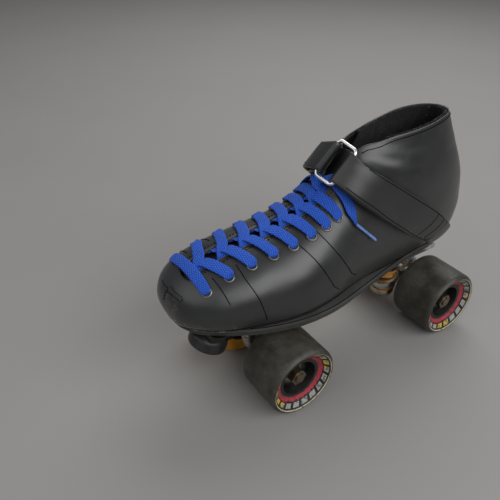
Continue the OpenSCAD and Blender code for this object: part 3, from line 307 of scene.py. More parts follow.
def turned(bm, profile, matrix, steps):
    """Closed profile of (radius, height) spun about the Z axis of a matrix."""
    distance = bm.verts.layers.float.get("profile") or bm.verts.layers.float.new("profile")
    turn = bm.verts.layers.float_vector.get("turn") or bm.verts.layers.float_vector.new("turn")
    points = [bm.verts.new((r, 0, z)) for r, z in profile]
    run = 0
    for i, v in enumerate(points):
        v[distance] = run
        run += (points[(i + 1) % len(points)].co - v.co).length
    edges = [bm.edges.new((a, b)) for a, b in zip(points, points[1:] + points[:1])]
    old = set(bm.faces)
    bmesh.ops.spin(
        bm, geom=points + edges, cent=(0, 0, 0), axis=(0, 0, 1), angle=2 * math.pi,
        steps=steps, use_merge=True,
    )
    faces = [face for face in bm.faces if face not in old]
    bmesh.ops.recalc_face_normals(bm, faces=faces)
    verts = list({v for face in faces for v in face.verts})
    for v in verts:
        v[turn] = v.co.xy.normalized().to_3d()
    bmesh.ops.transform(bm, matrix=matrix, verts=verts)


def rounded(profile, radius, steps=2):
    """Profile whose corners are rounded, each by up to a radius."""
    out = []
    for i, corner in enumerate(profile):
        corner = Vector(corner)
        before, after = Vector(profile[i - 1]), Vector(profile[(i + 1) % len(profile)])
        r = min(radius, 0.45 * (before - corner).length, 0.45 * (after - corner).length)
        a = corner + (before - corner).normalized() * r
        b = corner + (after - corner).normalized() * r
        for k in range(steps + 1):
            t = k / steps
            out.append(tuple(a * (1 - t) ** 2 + corner * 2 * t * (1 - t) + b * t * t))
    return out


def band_section(steps, thickness, width):
    """Outline of a flat band with rounded edges: places across and through it, from -1 to 1."""
    edge = thickness / width
    across = [-1, -1 + 0.3 * edge, -1 + edge]
    across += [mix(-1 + edge, 1 - edge, i / steps) for i in range(1, steps)]
    across += [1 - edge, 1 - 0.3 * edge, 1]
    through = [0.25, 0.75] + [1] * (steps + 1) + [0.75, 0.25]
    top = list(zip(across, through))
    return top + [(a, -b) for a, b in reversed(top)]


def resampled(path, pitch):
    """Places along a path of (point, normal), a pitch apart."""
    out, left = [], 0.5 * pitch
    for (a, n), (b, m) in zip(path, path[1:]):
        run = (b - a).length
        while left <= run and run > 0:
            t = left / run
            out.append((a.lerp(b, t), (b - a).normalized(), n.lerp(m, t)))
            left += pitch
        left -= run
    return out


def raised(path, rise):
    return [(point + normal * rise, normal) for point, normal in path]


def sew(bm, path, sizes):
    """Row of stitches along a path of (point, normal)."""
    half = 0.5 * sizes.stitch_l / MM
    thread = 0.5 * sizes.thread_d / MM
    for point, along, normal in resampled(path, STITCH_SPACING * half):
        shape = Matrix.Diagonal((half, thread * STITCH_SPREAD, thread, 1))
        matrix = frame_at(point - normal * thread * STITCH_SINK, along, normal) @ shape
        bmesh.ops.create_uvsphere(bm, u_segments=6, v_segments=5, radius=1, matrix=matrix)


def boot_path(places, lift, steps=40):
    """Path of (point, normal) on the uneven leather through places of (u, f)."""
    last = len(places) - 1
    out = []
    for k in range(steps * last + 1):
        u, f = spline(places, k / steps)
        out.append((on_boot(u, f, lift + wrinkle(boot_point(u, f), f)), boot_normal(u, f)))
    return out


def strip(path, width, rise):
    """Narrow raised strip along a path of (point, normal)."""
    rings = []
    for k, (point, normal) in enumerate(path):
        travel = path[min(k + 1, len(path) - 1)][0] - path[max(k - 1, 0)][0]
        side = travel.cross(normal).normalized() * width / 2
        rings.append([
            point - side - normal * LINE_SINK, point - side * 0.7 + normal * rise,
            point + side * 0.7 + normal * rise, point + side - normal * LINE_SINK,
        ])
    return loft(rings)


def joined(parts):
    """One mesh made of several."""
    bm = bmesh.new()
    for part in parts:
        mesh = bpy.data.meshes.new("part")
        part.to_mesh(mesh)
        part.free()
        bm.from_mesh(mesh)
        bpy.data.meshes.remove(mesh)
    return bm


def finish(bm, name, finish_name, body, slot, replaced=(), angle=None):
    """Makes an object of a mesh in millimetres, gives it a finish and lets it ride on a body."""
    mesh = bpy.data.meshes.new(name)
    bm.to_mesh(mesh)
    bm.free()
    mesh.transform(Matrix.Scale(MM, 4))
    return settle_piece(mesh, name, finish_name, body, slot, replaced, angle)


def settle_piece(mesh, name, finish_name, body, slot, replaced, angle):
    obj = bpy.data.objects.new(name, mesh)
    bpy.context.scene.collection.objects.link(obj)
    mesh.polygons.foreach_set("use_smooth", [True] * len(mesh.polygons))
    if angle:
        mesh.set_sharp_from_angle(angle=math.radians(angle))
    mesh.materials.append(bpy.data.materials[finish_name])
    if replaced:
        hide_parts(*replaced)
    if body:
        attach(obj, body)
    return obj


def give_wall(obj, thickness):
    """Thickness for a piece that is one open sheet, on its inner side."""
    wall = obj.modifiers.new("Wall", "SOLIDIFY")
    wall.thickness = thickness
    wall.offset = -1


def body_of(node):
    """Body that a solid belongs to."""
    words = node.split("_")
    if node in ("strap_flap", "hook_patch"):
        return "strap_end"
    if words[0] not in ("front", "rear") or "cushion" in words:
        return "skate"
    return "_".join(words[:2]) + "_wheel" if words[1] in ("lateral", "medial") else words[0] + "_truck"


def edged(node, finish_name, slot, width, cut_y=None):
    """Copy of a solid with rounded edges, which stands for it."""
    bm = bmesh.new()
    bm.from_mesh(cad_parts[node].data)
    bmesh.ops.remove_doubles(bm, verts=bm.verts, dist=MERGE_GAP * MM)
    bmesh.ops.dissolve_limit(
        bm, angle_limit=math.radians(FLAT_DEG), verts=bm.verts, edges=bm.edges,
        use_dissolve_boundaries=False,
    )
    if cut_y:
        geom = bm.verts[:] + bm.edges[:] + bm.faces[:]
        bmesh.ops.bisect_plane(
            bm, geom=geom, plane_co=(0, cut_y, 0), plane_no=(0, cut_y, 0), clear_outer=True
        )
        bmesh.ops.bridge_loops(bm, edges=[e for e in bm.edges if e.is_boundary])
    least = math.radians(SHARP_DEG)
    sharp = [e for e in bm.edges if e.is_manifold and e.calc_face_angle() > least]
    if sharp:
        bmesh.ops.bevel(
            bm, geom=sharp, offset=width, offset_type="OFFSET", affect="EDGES", segments=2,
            profile=0.5, material=-1, clamp_overlap=True,
        )
    mesh = bpy.data.meshes.new(node + "_edged")
    bm.to_mesh(mesh)
    bm.free()
    return settle_piece(mesh, node + "_edged", finish_name, body_of(node), slot, (node,), SHARP_DEG)


# Shader node groups and materials


def add(tree, kind, links=None, **settings):
    """Node with its settings, and its inputs linked or set."""
    node = tree.nodes.new(kind)
    for key, value in settings.items():
        setattr(node, key, value)
    for key, value in (links or {}).items():
        if isinstance(value, bpy.types.NodeSocket):
            tree.links.new(value, node.inputs[key])
        else:
            node.inputs[key].default_value = value
    return node


def maths(tree, operation, a, b=0.5, c=0.5):
    return add(tree, "ShaderNodeMath", {0: a, 1: b, 2: c}, operation=operation).outputs[0]


def noise_of(tree, vector, scale, detail=3, roughness=0.55):
    links = {"Vector": vector, "Scale": scale, "Detail": detail, "Roughness": roughness}
    return add(tree, "ShaderNodeTexNoise", links).outputs["Fac"]


def between(tree, value, low, high, out_low=0, out_high=1):
    """Value taken from one range to another, and kept inside it."""
    links = {"Value": value, "From Min": low, "From Max": high, "To Min": out_low, "To Max": out_high}
    return add(tree, "ShaderNodeMapRange", links).outputs["Result"]


def blended(tree, factor, a, b):
    node = add(tree, "ShaderNodeMix", data_type="RGBA")
    for socket, value in ((node.inputs[0], factor), (node.inputs[6], a), (node.inputs[7], b)):
        if isinstance(value, bpy.types.NodeSocket):
            tree.links.new(value, socket)
        else:
            socket.default_value = value
    return node.outputs[2]


def new_group(name, inputs, outputs):
    tree = bpy.data.node_groups.new(name, "ShaderNodeTree")
    for label, kind in inputs:
        tree.interface.new_socket(label, in_out="INPUT", socket_type=kind)
    for label in outputs:
        tree.interface.new_socket(label, in_out="OUTPUT", socket_type="NodeSocketFloat")
    return tree, tree.nodes.new("NodeGroupInput").outputs, tree.nodes.new("NodeGroupOutput").inputs


def leather_grain_group():
    """Pebbled grain with creases, and masks of rubbed places and of pale flecks."""
    tree, given, out = new_group(
        "Leather grain",
        (("Vector", "NodeSocketVector"), ("Pebbles", "NodeSocketFloat"), ("Rub", "NodeSocketFloat")),
        ("Height", "Tone", "Rubbed", "Flecks"),
    )
    vector = given["Vector"]
    cells = add(tree, "ShaderNodeTexVoronoi", {"Vector": vector, "Scale": given["Pebbles"]},
                feature="SMOOTH_F1")
    fine = noise_of(tree, vector, 2600, 2)
    creases = noise_of(tree, vector, 95, 5, 0.6)
    pebble = maths(tree, "MULTIPLY_ADD", cells.outputs["Distance"], -0.6)
    height = maths(tree, "ADD", pebble, maths(tree, "MULTIPLY", fine, 0.5))
    height = maths(tree, "ADD", height, maths(tree, "MULTIPLY", creases, 0.9))
    tree.links.new(height, out["Height"])
    tone = noise_of(tree, vector, 28, 4)
    tree.links.new(between(tree, tone, 0.3, 0.7), out["Tone"])
    streaks = noise_of(tree, vector, 210, 6, 0.72)
    patches = noise_of(tree, vector, 38, 3)
    worn = maths(tree, "MULTIPLY", between(tree, streaks, 0.53, 0.66), between(tree, patches, 0.5, 0.66))
    tree.links.new(maths(tree, "MULTIPLY", worn, given["Rub"]), out["Rubbed"])
    specks = add(tree, "ShaderNodeTexVoronoi", {"Vector": vector, "Scale": 55})
    chosen = add(tree, "ShaderNodeSeparateColor", {0: specks.outputs["Color"]}).outputs[0]
    spot = maths(tree, "MULTIPLY", between(tree, specks.outputs["Distance"], 0.046, 0.030),
                 maths(tree, "GREATER_THAN", chosen, 0.86))
    tree.links.new(maths(tree, "MULTIPLY", spot, given["Rub"]), out["Flecks"])


def weave_group():
    """Plain weave on a UV map of millimetres, with a thread count per millimetre. Its tone is darker where
    the weave is low, in the gaps between the threads: painted shade.
    """
    tree, given, out = new_group(
        "Weave", (("UV", "NodeSocketVector"), ("Threads", "NodeSocketFloat")), ("Height", "Tone")
    )
    scaled = add(tree, "ShaderNodeVectorMath", {0: given["UV"]}, operation="SCALE")
    tree.links.new(given["Threads"], scaled.inputs["Scale"])
    split = add(tree, "ShaderNodeSeparateXYZ", {0: scaled.outputs[0]})
    lean = maths(tree, "MULTIPLY", split.outputs["Y"], 0.55)
    waves = []
    for a, b in ((split.outputs["X"], lean), (lean, split.outputs["X"])):
        total = maths(tree, "ADD", a, b) if not waves else maths(tree, "SUBTRACT", a, b)
        turn = maths(tree, "SINE", maths(tree, "MULTIPLY", total, 2 * math.pi))
        waves.append(between(tree, turn, -1, 1))
    rows = maths(tree, "MULTIPLY", waves[0], waves[1])
    slub = noise_of(tree, given["UV"], 2.2, 4)
    tree.links.new(maths(tree, "ADD", rows, maths(tree, "MULTIPLY", slub, 0.35)), out["Height"])
    # Tone follows the height of the weave: painted shade in the gaps between the threads
    tree.links.new(between(tree, rows, 0.04, 0.55), out["Tone"])


def metal_group():
    """Fine scratches, tarnish and casting texture of handled metal."""
    tree, given, out = new_group(
        "Handled metal", (("Vector", "NodeSocketVector"), ("Pits", "NodeSocketFloat")),
        ("Height", "Tarnish", "Scratches"),
    )
    vector = given["Vector"]
    stretched = add(tree, "ShaderNodeMapping", {"Vector": vector, "Scale": (1, 14, 1)})
    fine = noise_of(tree, stretched.outputs[0], 620, 3, 0.7)
    pits = noise_of(tree, vector, given["Pits"], 3)
    grime_and_shade = noise_of(tree, vector, 55, 5, 0.65)
    height = maths(tree, "ADD", maths(tree, "MULTIPLY", fine, 0.4), pits)
    tree.links.new(height, out["Height"])
    tree.links.new(between(tree, grime_and_shade, 0.45, 0.72), out["Tarnish"])
    tree.links.new(between(tree, fine, 0.4, 0.7), out["Scratches"])


def road_dirt_group():
    """Dust and rubbing on parts that run near the floor."""
    tree, given, out = new_group(
        "Road dirt", (("Vector", "NodeSocketVector"),), ("Height", "Dust", "Mottle")
    )
    vector = given["Vector"]
    coarse = noise_of(tree, vector, 70, 6, 0.7)
    fine = noise_of(tree, vector, 900, 3, 0.6)
    dust = maths(tree, "MULTIPLY", between(tree, coarse, 0.46, 0.68), between(tree, fine, 0.35, 0.65))
    tree.links.new(dust, out["Dust"])
    tree.links.new(between(tree, noise_of(tree, vector, 160, 4), 0.3, 0.7), out["Mottle"])
    tree.links.new(maths(tree, "ADD", fine, maths(tree, "MULTIPLY", coarse, 0.8)), out["Height"])


class Finish:
    """A material under way: its tree, its shader and its coordinates."""

    def __init__(self, name, **constants):
        self.material = bpy.data.materials.new(name)
        self.material.use_nodes = True
        self.tree = self.material.node_tree
        self.shader = self.tree.nodes["Principled BSDF"]
        for label, value in constants.items():
            self.shader.inputs[label.replace("_", " ")].default_value = value
        self.coordinates = self.tree.nodes.new("ShaderNodeTexCoord")
        self.object = self.coordinates.outputs["Object"]
        self.uv = self.coordinates.outputs["UV"]

    def group(self, name, **inputs):
        node = self.tree.nodes.new("ShaderNodeGroup")
        node.node_tree = bpy.data.node_groups[name]
        for label, value in inputs.items():
            if isinstance(value, bpy.types.NodeSocket):
                self.tree.links.new(value, node.inputs[label])
            else:
                node.inputs[label].default_value = value
        return node.outputs

    def paint(self, socket, label="Base Color"):
        self.tree.links.new(socket, self.shader.inputs[label])

    def bump(self, height, millimetres, strength=1.0):
        links = {"Height": height, "Distance": millimetres * MM, "Strength": strength}
        self.paint(add(self.tree, "ShaderNodeBump", links).outputs["Normal"], "Normal")


def rgba(value, gain=1.0):
    return (*(min(1, c * gain) for c in value), 1)


# Painted shade on the front of the plate, which lies under the toe of the boot: length over which it fades
# in, in metres, and its tone
UNDER_TOE_SHADE_FADE = 0.012
UNDER_TOE_SHADE_TONE = 0.08


def leather_finish(name, colours, tint, pebbles, rub, roughness, toe_rub=False):
    """Waxed leather. With a rubbed toe, scuffs gather there and pale knocks lie along its foot."""
    skin = Finish(name, Coat_Weight=0.55, Coat_Roughness=0.39)
    tree = skin.tree
    grain = skin.group("Leather grain", Vector=skin.object, Pebbles=pebbles, Rub=rub)
    rubbed, flecks = grain["Rubbed"], grain["Flecks"]
    if toe_rub:
        split = add(tree, "ShaderNodeSeparateXYZ", {0: skin.object})
        front = between(tree, split.outputs["X"], 0.100, 0.142)
        low = between(tree, split.outputs["Z"], 0.125, 0.085)
        near = maths(tree, "MULTIPLY_ADD", maths(tree, "MULTIPLY", front, low), 0.8, 0.25)
        rubbed = maths(tree, "MULTIPLY", rubbed, near)
        rim = maths(tree, "MULTIPLY", between(tree, split.outputs["X"], 0.105, 0.130),
                    between(tree, split.outputs["Z"], 0.092, 0.083))
        knocks = between(tree, noise_of(tree, skin.object, 400, 3, 0.6), 0.60, 0.63)
        flecks = maths(tree, "MAXIMUM", flecks, maths(tree, "MULTIPLY", rim, knocks))
    dyed = blended(tree, grain["Tone"], rgba(tint, 0.75), rgba(tint, 1.45))
    worn = blended(tree, rubbed, dyed, rgba(colours.scuff))
    skin.paint(blended(tree, flecks, worn, rgba(colours.fleck)))
    shine = between(tree, grain["Tone"], 0, 1, roughness - 0.05, roughness + 0.07)
    skin.paint(maths(tree, "ADD", shine, maths(tree, "MULTIPLY", rubbed, 0.25)), "Roughness")
    skin.bump(grain["Height"], 0.16, 0.55)


def metal_finish(name, tint, roughness, pits, depth, dull=0.45, shaded_from=None):
    """Bare metal. Ahead of a place along the skate it can be darkened with painted shade."""
    skin = Finish(name, Metallic=1.0)
    tree = skin.tree
    marks = skin.group("Handled metal", Vector=skin.object, Pits=pits)
    bare = blended(tree, marks["Tarnish"], rgba(tint), rgba(tint, dull))
    if shaded_from:
        ahead = add(tree, "ShaderNodeSeparateXYZ", {0: skin.object}).outputs["X"]
        # Darker ahead of that place: painted shade under the toe of the boot
        grime_and_shade = between(tree, ahead, shaded_from, shaded_from + UNDER_TOE_SHADE_FADE)
        bare = blended(tree, grime_and_shade, bare, rgba(tint, UNDER_TOE_SHADE_TONE))
    skin.paint(bare)
    worn = maths(tree, "MULTIPLY_ADD", marks["Scratches"], 0.16, roughness)
    dulled = maths(tree, "MULTIPLY", marks["Tarnish"], 0.14)
    skin.paint(maths(tree, "ADD", worn, dulled), "Roughness")
    skin.bump(marks["Height"], depth, 0.5)


def dirty_finish(name, tint, roughness, dust, depth, **constants):
    """Rubber, nylon, urethane, film or thread, with dust in its mottled surface."""
    skin = Finish(name, **constants)
    marks = skin.group("Road dirt", Vector=skin.object)
    clean = blended(skin.tree, marks["Mottle"], rgba(tint, 0.82), rgba(tint, 1.2))
    skin.paint(blended(skin.tree, marks["Dust"], clean, rgba(dust)))
    skin.paint(between(skin.tree, marks["Mottle"], 0, 1, roughness - 0.06, roughness + 0.08), "Roughness")
    skin.bump(marks["Height"], depth, 0.6)
    return skin


def cloth_finish(name, tint, threads, roughness, depth):
    """Woven cloth on the UV map of its piece, with painted shade in the gaps between its threads."""
    skin = Finish(name, Sheen_Weight=0.04, Sheen_Roughness=0.4)
    weave = skin.group("Weave", UV=skin.uv, Threads=threads)
    mottle = noise_of(skin.tree, skin.object, 480, 3, 0.65)
    # Weave tone with painted shade between the threads, times a random mottle
    shade = maths(skin.tree, "MULTIPLY", weave["Tone"], between(skin.tree, mottle, 0.35, 0.65, 0.55, 1.15))
    skin.paint(blended(skin.tree, shade, rgba(tint, 0.58), rgba(tint, 1.38)))
    skin.paint(between(skin.tree, weave["Tone"], 0, 1, roughness + 0.08, roughness - 0.05), "Roughness")
    skin.bump(weave["Height"], depth, 0.8)


def pile_finish(name, tint, lint, lint_from):
    """Dark pile with lint caught in it: the lower the start of the lint, the more there is."""
    skin = Finish(name, Sheen_Weight=0.06, Sheen_Roughness=0.5, Roughness=0.95)
    tree = skin.tree
    fibres = noise_of(tree, skin.object, 1500, 4, 0.75)
    tufts = noise_of(tree, skin.object, 260, 3, 0.6)
    fluff = between(tree, noise_of(tree, skin.object, 420, 2), lint_from, lint_from + 0.03)
    dark = blended(tree, between(tree, tufts, 0.35, 0.65), rgba(tint, 0.5), rgba(tint, 2.0))
    skin.paint(blended(tree, fluff, dark, rgba(lint)))
    height = maths(tree, "ADD", fibres, maths(tree, "MULTIPLY", tufts, 1.6))
    skin.bump(height, 0.9, 1.0)


# Rings on the dished side of a tyre: from and to along its profile, and their tone
FACE_RINGS = ((1.6, 5.0, "red"), (5.0, 11.2, "dark"), (6.2, 10.2, "blocks"), (11.6, 12.6, "line"))
FACE_BLOCKS = 18
BLOCK_LEAN = 0.05
BLOCK_SHARE = 0.7


def tyre_finish(name, tint, colours, weight):
    """Worn urethane, with coloured rings and blocks on the outer side of the tyre."""
    dusty = [2.4 * c + 0.035 for c in tint]
    skin = dirty_finish(name, tint, 0.5, dusty, 0.12, Subsurface_Weight=weight)
    skin.shader.inputs["Subsurface Radius"].default_value = (0.6, 0.3, 0.1)
    skin.shader.inputs["Subsurface Scale"].default_value = 0.006
    tree = skin.tree
    cloud = between(tree, noise_of(tree, skin.object, 48, 6, 0.65), 0.42, 0.64, 0, 0.7)
    under = blended(tree, cloud, skin.shader.inputs["Base Color"].links[0].from_socket, rgba(dusty, 0.8))
    along = add(tree, "ShaderNodeAttribute", attribute_name="profile").outputs["Fac"]
    turn = add(tree, "ShaderNodeAttribute", attribute_name="turn").outputs["Vector"]
    split = add(tree, "ShaderNodeSeparateXYZ", {0: turn})
    angle = maths(tree, "ARCTAN2", split.outputs["Y"], split.outputs["X"])
    count = maths(tree, "MULTIPLY", angle, FACE_BLOCKS / (2 * math.pi))
    share = maths(tree, "FRACT", maths(tree, "ADD", count, maths(tree, "MULTIPLY", along, BLOCK_LEAN)))
    block = maths(tree, "LESS_THAN", share, BLOCK_SHARE)
    ragged = between(tree, noise_of(tree, skin.object, 420, 3, 0.6), 0.3, 0.7, -0.9, 0.9)
    rough_along = maths(tree, "ADD", along, ragged)
    worn = between(tree, noise_of(tree, skin.object, 300, 5, 0.7), 0.36, 0.48)
    warm = between(tree, noise_of(tree, skin.object, 42, 2), 0.52, 0.57)
    pale = blended(tree, warm, rgba(colours.band_pale), rgba(colours.band_warm))
    tones = {
        "red": rgba(colours.band), "dark": rgba(colours.band_dark), "blocks": pale,
        "line": rgba(colours.band_line),
    }
    for low, high, tone in FACE_RINGS:
        place = rough_along if tone in ("red", "dark") else along
        inside = maths(tree, "MULTIPLY", maths(tree, "GREATER_THAN", place, low),
                       maths(tree, "LESS_THAN", place, high))
        if tone == "blocks":
            inside = maths(tree, "MULTIPLY", inside, block)
        under = blended(tree, maths(tree, "MULTIPLY", inside, worn), under, tones[tone])
    skin.paint(under)


# Tones that pieces take where they are dusty or worn
PLUG_DUST = (0.05, 0.048, 0.045)
CUP_DUST = (0.04, 0.038, 0.036)
HUB_DUST = (0.022, 0.020, 0.018)
AGLET_WEAR = (0.22, 0.33, 0.62)
CUSHION_WEAR = (0.30, 0.14, 0.04)


def make_finishes(colours):
    """All the materials, from the colours that the user set."""
    for build in (leather_grain_group, weave_group, metal_group, road_dirt_group):
        build()
    c = colours
    leather_finish("boot leather", c, c.leather, 1500, 0.75, 0.35, toe_rub=True)
    leather_finish("strap leather", c, c.strap, 1250, 0.25, 0.46)
    leather_finish("tongue leather", c, c.tongue, 1100, 0.3, 0.62)
    leather_finish("welt leather", c, c.sole, 1700, 0.6, 0.55, toe_rub=True)
    leather_finish("cut leather", c, c.raw, 1900, 0.4, 0.75)
    pile_finish("lining pile", c.pile, c.lint, 0.73)
    pile_finish("lining fluff", c.pile, c.lint, 0.60)
    pile_finish("closure cloth", c.closure, c.lint, 0.80)
    cloth_finish("insole cloth", c.insole, 1.1, 0.8, 0.2)
    cloth_finish("lace cloth", c.lace, 0.5, 0.8, 0.6)
    dirty_finish("sole rubber", c.sole, 0.55, c.dust, 0.15)
    dirty_finish("plug rubber", c.plug, 0.42, PLUG_DUST, 0.2)
    dirty_finish("cup rubber", c.sole, 0.5, CUP_DUST, 0.1)
    dirty_finish("thread", c.thread, 0.8, c.thread, 0.05, Specular_IOR_Level=0.08)
    dirty_finish("hub nylon", c.hub, 0.42, HUB_DUST, 0.08)
    dirty_finish("aglet film", c.aglet, 0.25, AGLET_WEAR, 0.05, Coat_Weight=0.5)
    dirty_finish("cushion urethane", c.cushion, 0.35, CUSHION_WEAR, 0.1, Subsurface_Weight=0.35,
                 Subsurface_Scale=0.005)
    tyre_finish("grey tyre", c.grey_tyre, c, 0.05)
    tyre_finish("amber tyre", c.amber_tyre, c, 0.25)
    # Front of the plate, under the toe, darkened with painted shade
    metal_finish("cast metal", c.cast, 0.24, 900, 0.12, shaded_from=0.086)
    metal_finish("axle steel", c.axle, 0.32, 1500, 0.05)
    metal_finish("steel", c.steel, 0.26, 1500, 0.05)
    metal_finish("chrome", c.chrome, 0.2, 1800, 0.02, 0.85)
    metal_finish("nickel", c.nickel, 0.3, 1800, 0.02, 0.6)
    metal_finish("retainer metal", c.retainer, 0.2, 1200, 0.05)
    metal_finish("bearing steel", c.steel, 0.2, 1600, 0.03, 0.6)


class SKATE_OT_finishes(bpy.types.Operator):
    """Materials of all the pieces, in the colours that are set"""

    bl_idname = "skate.finishes"
    bl_label = "Finishes"

    def execute(self, context):
        make_finishes(context.scene.skate_colours)
        return {"FINISHED"}


# Camera, floor and light

# Directions to the right and up in the picture, the place in metres, and the lens and sensor in millimetres
CAMERA_RIGHT = Vector((-0.82882681, 0.55939549, 0.01108218))
CAMERA_UP = Vector((-0.31131254, -0.47753234, 0.82161266))
CAMERA_PLACE = (0.28278, 0.29726, 0.37532)
LENS = 41.644
SENSOR = 36
FLOOR_HALF = 5
# Place of each lamp, its size across and down, and its power in watts
LAMPS = {
    "back": ((-0.75, -0.65, 1.15), (1.2, 1.0), 10.5),
    "outer side": ((-0.15, 0.95, 0.98), (1.5, 0.75), 12.5),
    "front": ((0.95, -0.10, 1.00), (1.4, 0.8), 3.6),
}
LAMP_AIM = Vector((0, 0, 0.1))
ROOM_LIGHT = {"Color": (0.92, 0.95, 1, 1), "Strength": 0.18}


class SKATE_OT_stage(bpy.types.Operator):
    """Camera at the photograph's angle, a pale floor and soft studio lights"""

    bl_idname = "skate.stage"
    bl_label = "Stage"

    def execute(self, context):
        scene = context.scene
        scene.view_settings.view_transform = "Standard"
        self.camera(scene)
        self.floor(scene)
        self.lights(scene)
        return {"FINISHED"}

    def camera(self, scene):
        lens = bpy.data.cameras.new("Camera")
        lens.sensor_fit = "HORIZONTAL"
        lens.sensor_width = SENSOR
        lens.lens = LENS
        camera = bpy.data.objects.new("Camera", lens)
        back = CAMERA_RIGHT.cross(CAMERA_UP)
        turn = Matrix((CAMERA_RIGHT, CAMERA_UP, back)).transposed().to_4x4()
        camera.matrix_world = Matrix.Translation(CAMERA_PLACE) @ turn
        scene.collection.objects.link(camera)
        scene.camera = camera

    def floor(self, scene):
        ground = Finish("studio floor", Roughness=0.7)
        mottle = noise_of(ground.tree, ground.object, 6, 4)
        tint = scene.skate_colours.floor
        ground.paint(blended(ground.tree, mottle, rgba(tint, 0.96), rgba(tint, 1.04)))
        bm = bmesh.new()
        bmesh.ops.create_grid(bm, x_segments=8, y_segments=8, size=FLOOR_HALF)
        mesh = bpy.data.meshes.new("floor")
        bm.to_mesh(mesh)
        bm.free()
        mesh.materials.append(ground.material)
        floor = bpy.data.objects.new("floor", mesh)
        scene.collection.objects.link(floor)

    def lights(self, scene):
        for name, (place, size, watts) in LAMPS.items():
            light = bpy.data.lights.new(name, "AREA")
            light.shape = "RECTANGLE"
            light.size, light.size_y = size
            light.energy = watts
            lamp = bpy.data.objects.new(name, light)
            turn = (LAMP_AIM - Vector(place)).to_track_quat("-Z", "Y").to_matrix().to_4x4()
            lamp.matrix_world = Matrix.Translation(place) @ turn
            scene.collection.objects.link(lamp)
        world = bpy.data.worlds.new("studio")
        world.use_nodes = True
        for label, value in ROOM_LIGHT.items():
            world.node_tree.nodes["Background"].inputs[label].default_value = value
        scene.world = world


# Lace

# Routes of the two free ends of the lace, and the points that their aglets aim at
LACE_ENDS = {
    "outer": (
        (
            (11.9, -7.9, 156.3), (10.6, -6, 158.6), (7, -3, 163.6), (6.6, 0, 167.8),
            (7.8, 3.6, 169), (8.6, 8, 168), (8.2, 12.6, 165.6), (7.4, 17.4, 162.4),
            (6.2, 21.8, 158.2), (5.2, 25.8, 152.8), (4.6, 29.8, 147), (4, 34, 140.6),
        ),
        (-17, 40.4, 120),
    ),
    "inner": (
        (
            (12.6, 7.8, 155.7), (12.8, 5.4, 157.1), (13.5, 2.4, 159.6), (14.8, -0.8, 161.4),
            (13.4, -5, 164.6), (10.8, -9.8, 165.2), (9.4, -14.6, 163.2), (8.2, -19.2, 159.6),
            (7.2, -23.6, 155), (6.2, -27.8, 149.8), (5.8, -31.6, 143.6), (5.6, -35, 138),
        ),
        (-11.8, -41.2, 117.5),
    ),
}
ANKLE_MIDDLE = Vector((2, 0, 105))
END_STEPS = 6
END_SIDES = 16
# Points of a route over which the lace is drawn in to its aglet, its width there, and how square it is
DRAWN_IN = 1.6
TIP_SHARE = 0.46
END_SQUARE = 0.55
# Outline of an aglet: shares of its radius and of its length
AGLET_OUTLINE = ((1, 0), (1, 0.3), (0.88, 0.34), (0.88, 0.4), (1, 0.44), (1, 0.93), (0.6, 1))


class SKATE_OT_lace_ends(bpy.types.Operator):
    """The two free ends of the lace, with their aglets"""

    bl_idname = "skate.lace_ends"
    bl_label = "Lace ends"

    def execute(self, context):
        sizes = context.scene.skate_sizes
        for side, (route, aim) in LACE_ENDS.items():
            self.lace_end(sizes, side, route, Vector(aim))
        return {"FINISHED"}

    def lace_end(self, sizes, side, route, aim):
        last = len(route) - 1
        path = [Vector(spline(route, k / END_STEPS)) for k in range(END_STEPS * last + 1)]
        width, thickness = sizes.lace_w / MM, sizes.lace_t / MM
        tip = TIP_SHARE * sizes.aglet_d / MM
        rings = []
        for k, point in enumerate(path):
            ahead = path[k + 1] if k < len(path) - 1 else aim
            travel = (ahead - path[max(k - 1, 0)]).normalized()
            wide = travel.cross(point - ANKLE_MIDDLE).normalized()
            thick = wide.cross(travel)
            drawn = ease(min(1, (last - k / END_STEPS) / DRAWN_IN))
            half_w, half_t = mix(tip, width / 2, drawn), mix(tip, thickness / 2, drawn)
            square = mix(1, END_SQUARE, drawn)
            ring = []
            for a in range(END_SIDES):
                turn = -2 * math.pi * a / END_SIDES
                c, s = math.cos(turn), math.sin(turn)
                across = math.copysign(abs(c) ** square, c) * half_w
                through = math.copysign(abs(s) ** square, s) * half_t
                ring.append(point + wide * across + thick * through)
            rings.append(ring)
        end = finish(
            loft(rings), f"{side}_lace_tail", "lace cloth", "skate", "lace_cloth", (f"{side}_lace_end",)
        )
        aglet = self.aglet(sizes, side, path[-1], aim)
        run = sum((b - a).length for a, b in zip(path, path[1:]))
        [v * MM for v in route[0]]

    def aglet(self, sizes, side, start, aim):
        r, reach = 0.5 * sizes.aglet_d / MM, sizes.aglet_l / MM
        outer = [(a * r, b * reach) for a, b in AGLET_OUTLINE]
        profile = [(AXIS_GAP, 0), *outer, (AXIS_GAP, reach)]
        along = (aim - start).normalized()
        matrix = frame_at(start, along.cross(Vector((1, 0, 0))), along)
        bm = bmesh.new()
        turned(bm, rounded(profile, 0.3), matrix, 20)
        return finish(bm, f"{side}_aglet", "aglet film", "skate", "aglet_plastic", ("aglets",), 50)


LACE_STEPS = 5
LACE_ACROSS = 6
# How much narrower than an eyelet the bunched lace is, and how much thicker it gets there
EYELET_EASE = 0.95
LACE_BUNCH = 0.5
# Unevenness of the lace's width, the tilt of its edges, and how much thinner they are than its middle
LACE_UNEVEN = 0.09
LACE_TILT = 0.35
LACE_THIN = 0.35


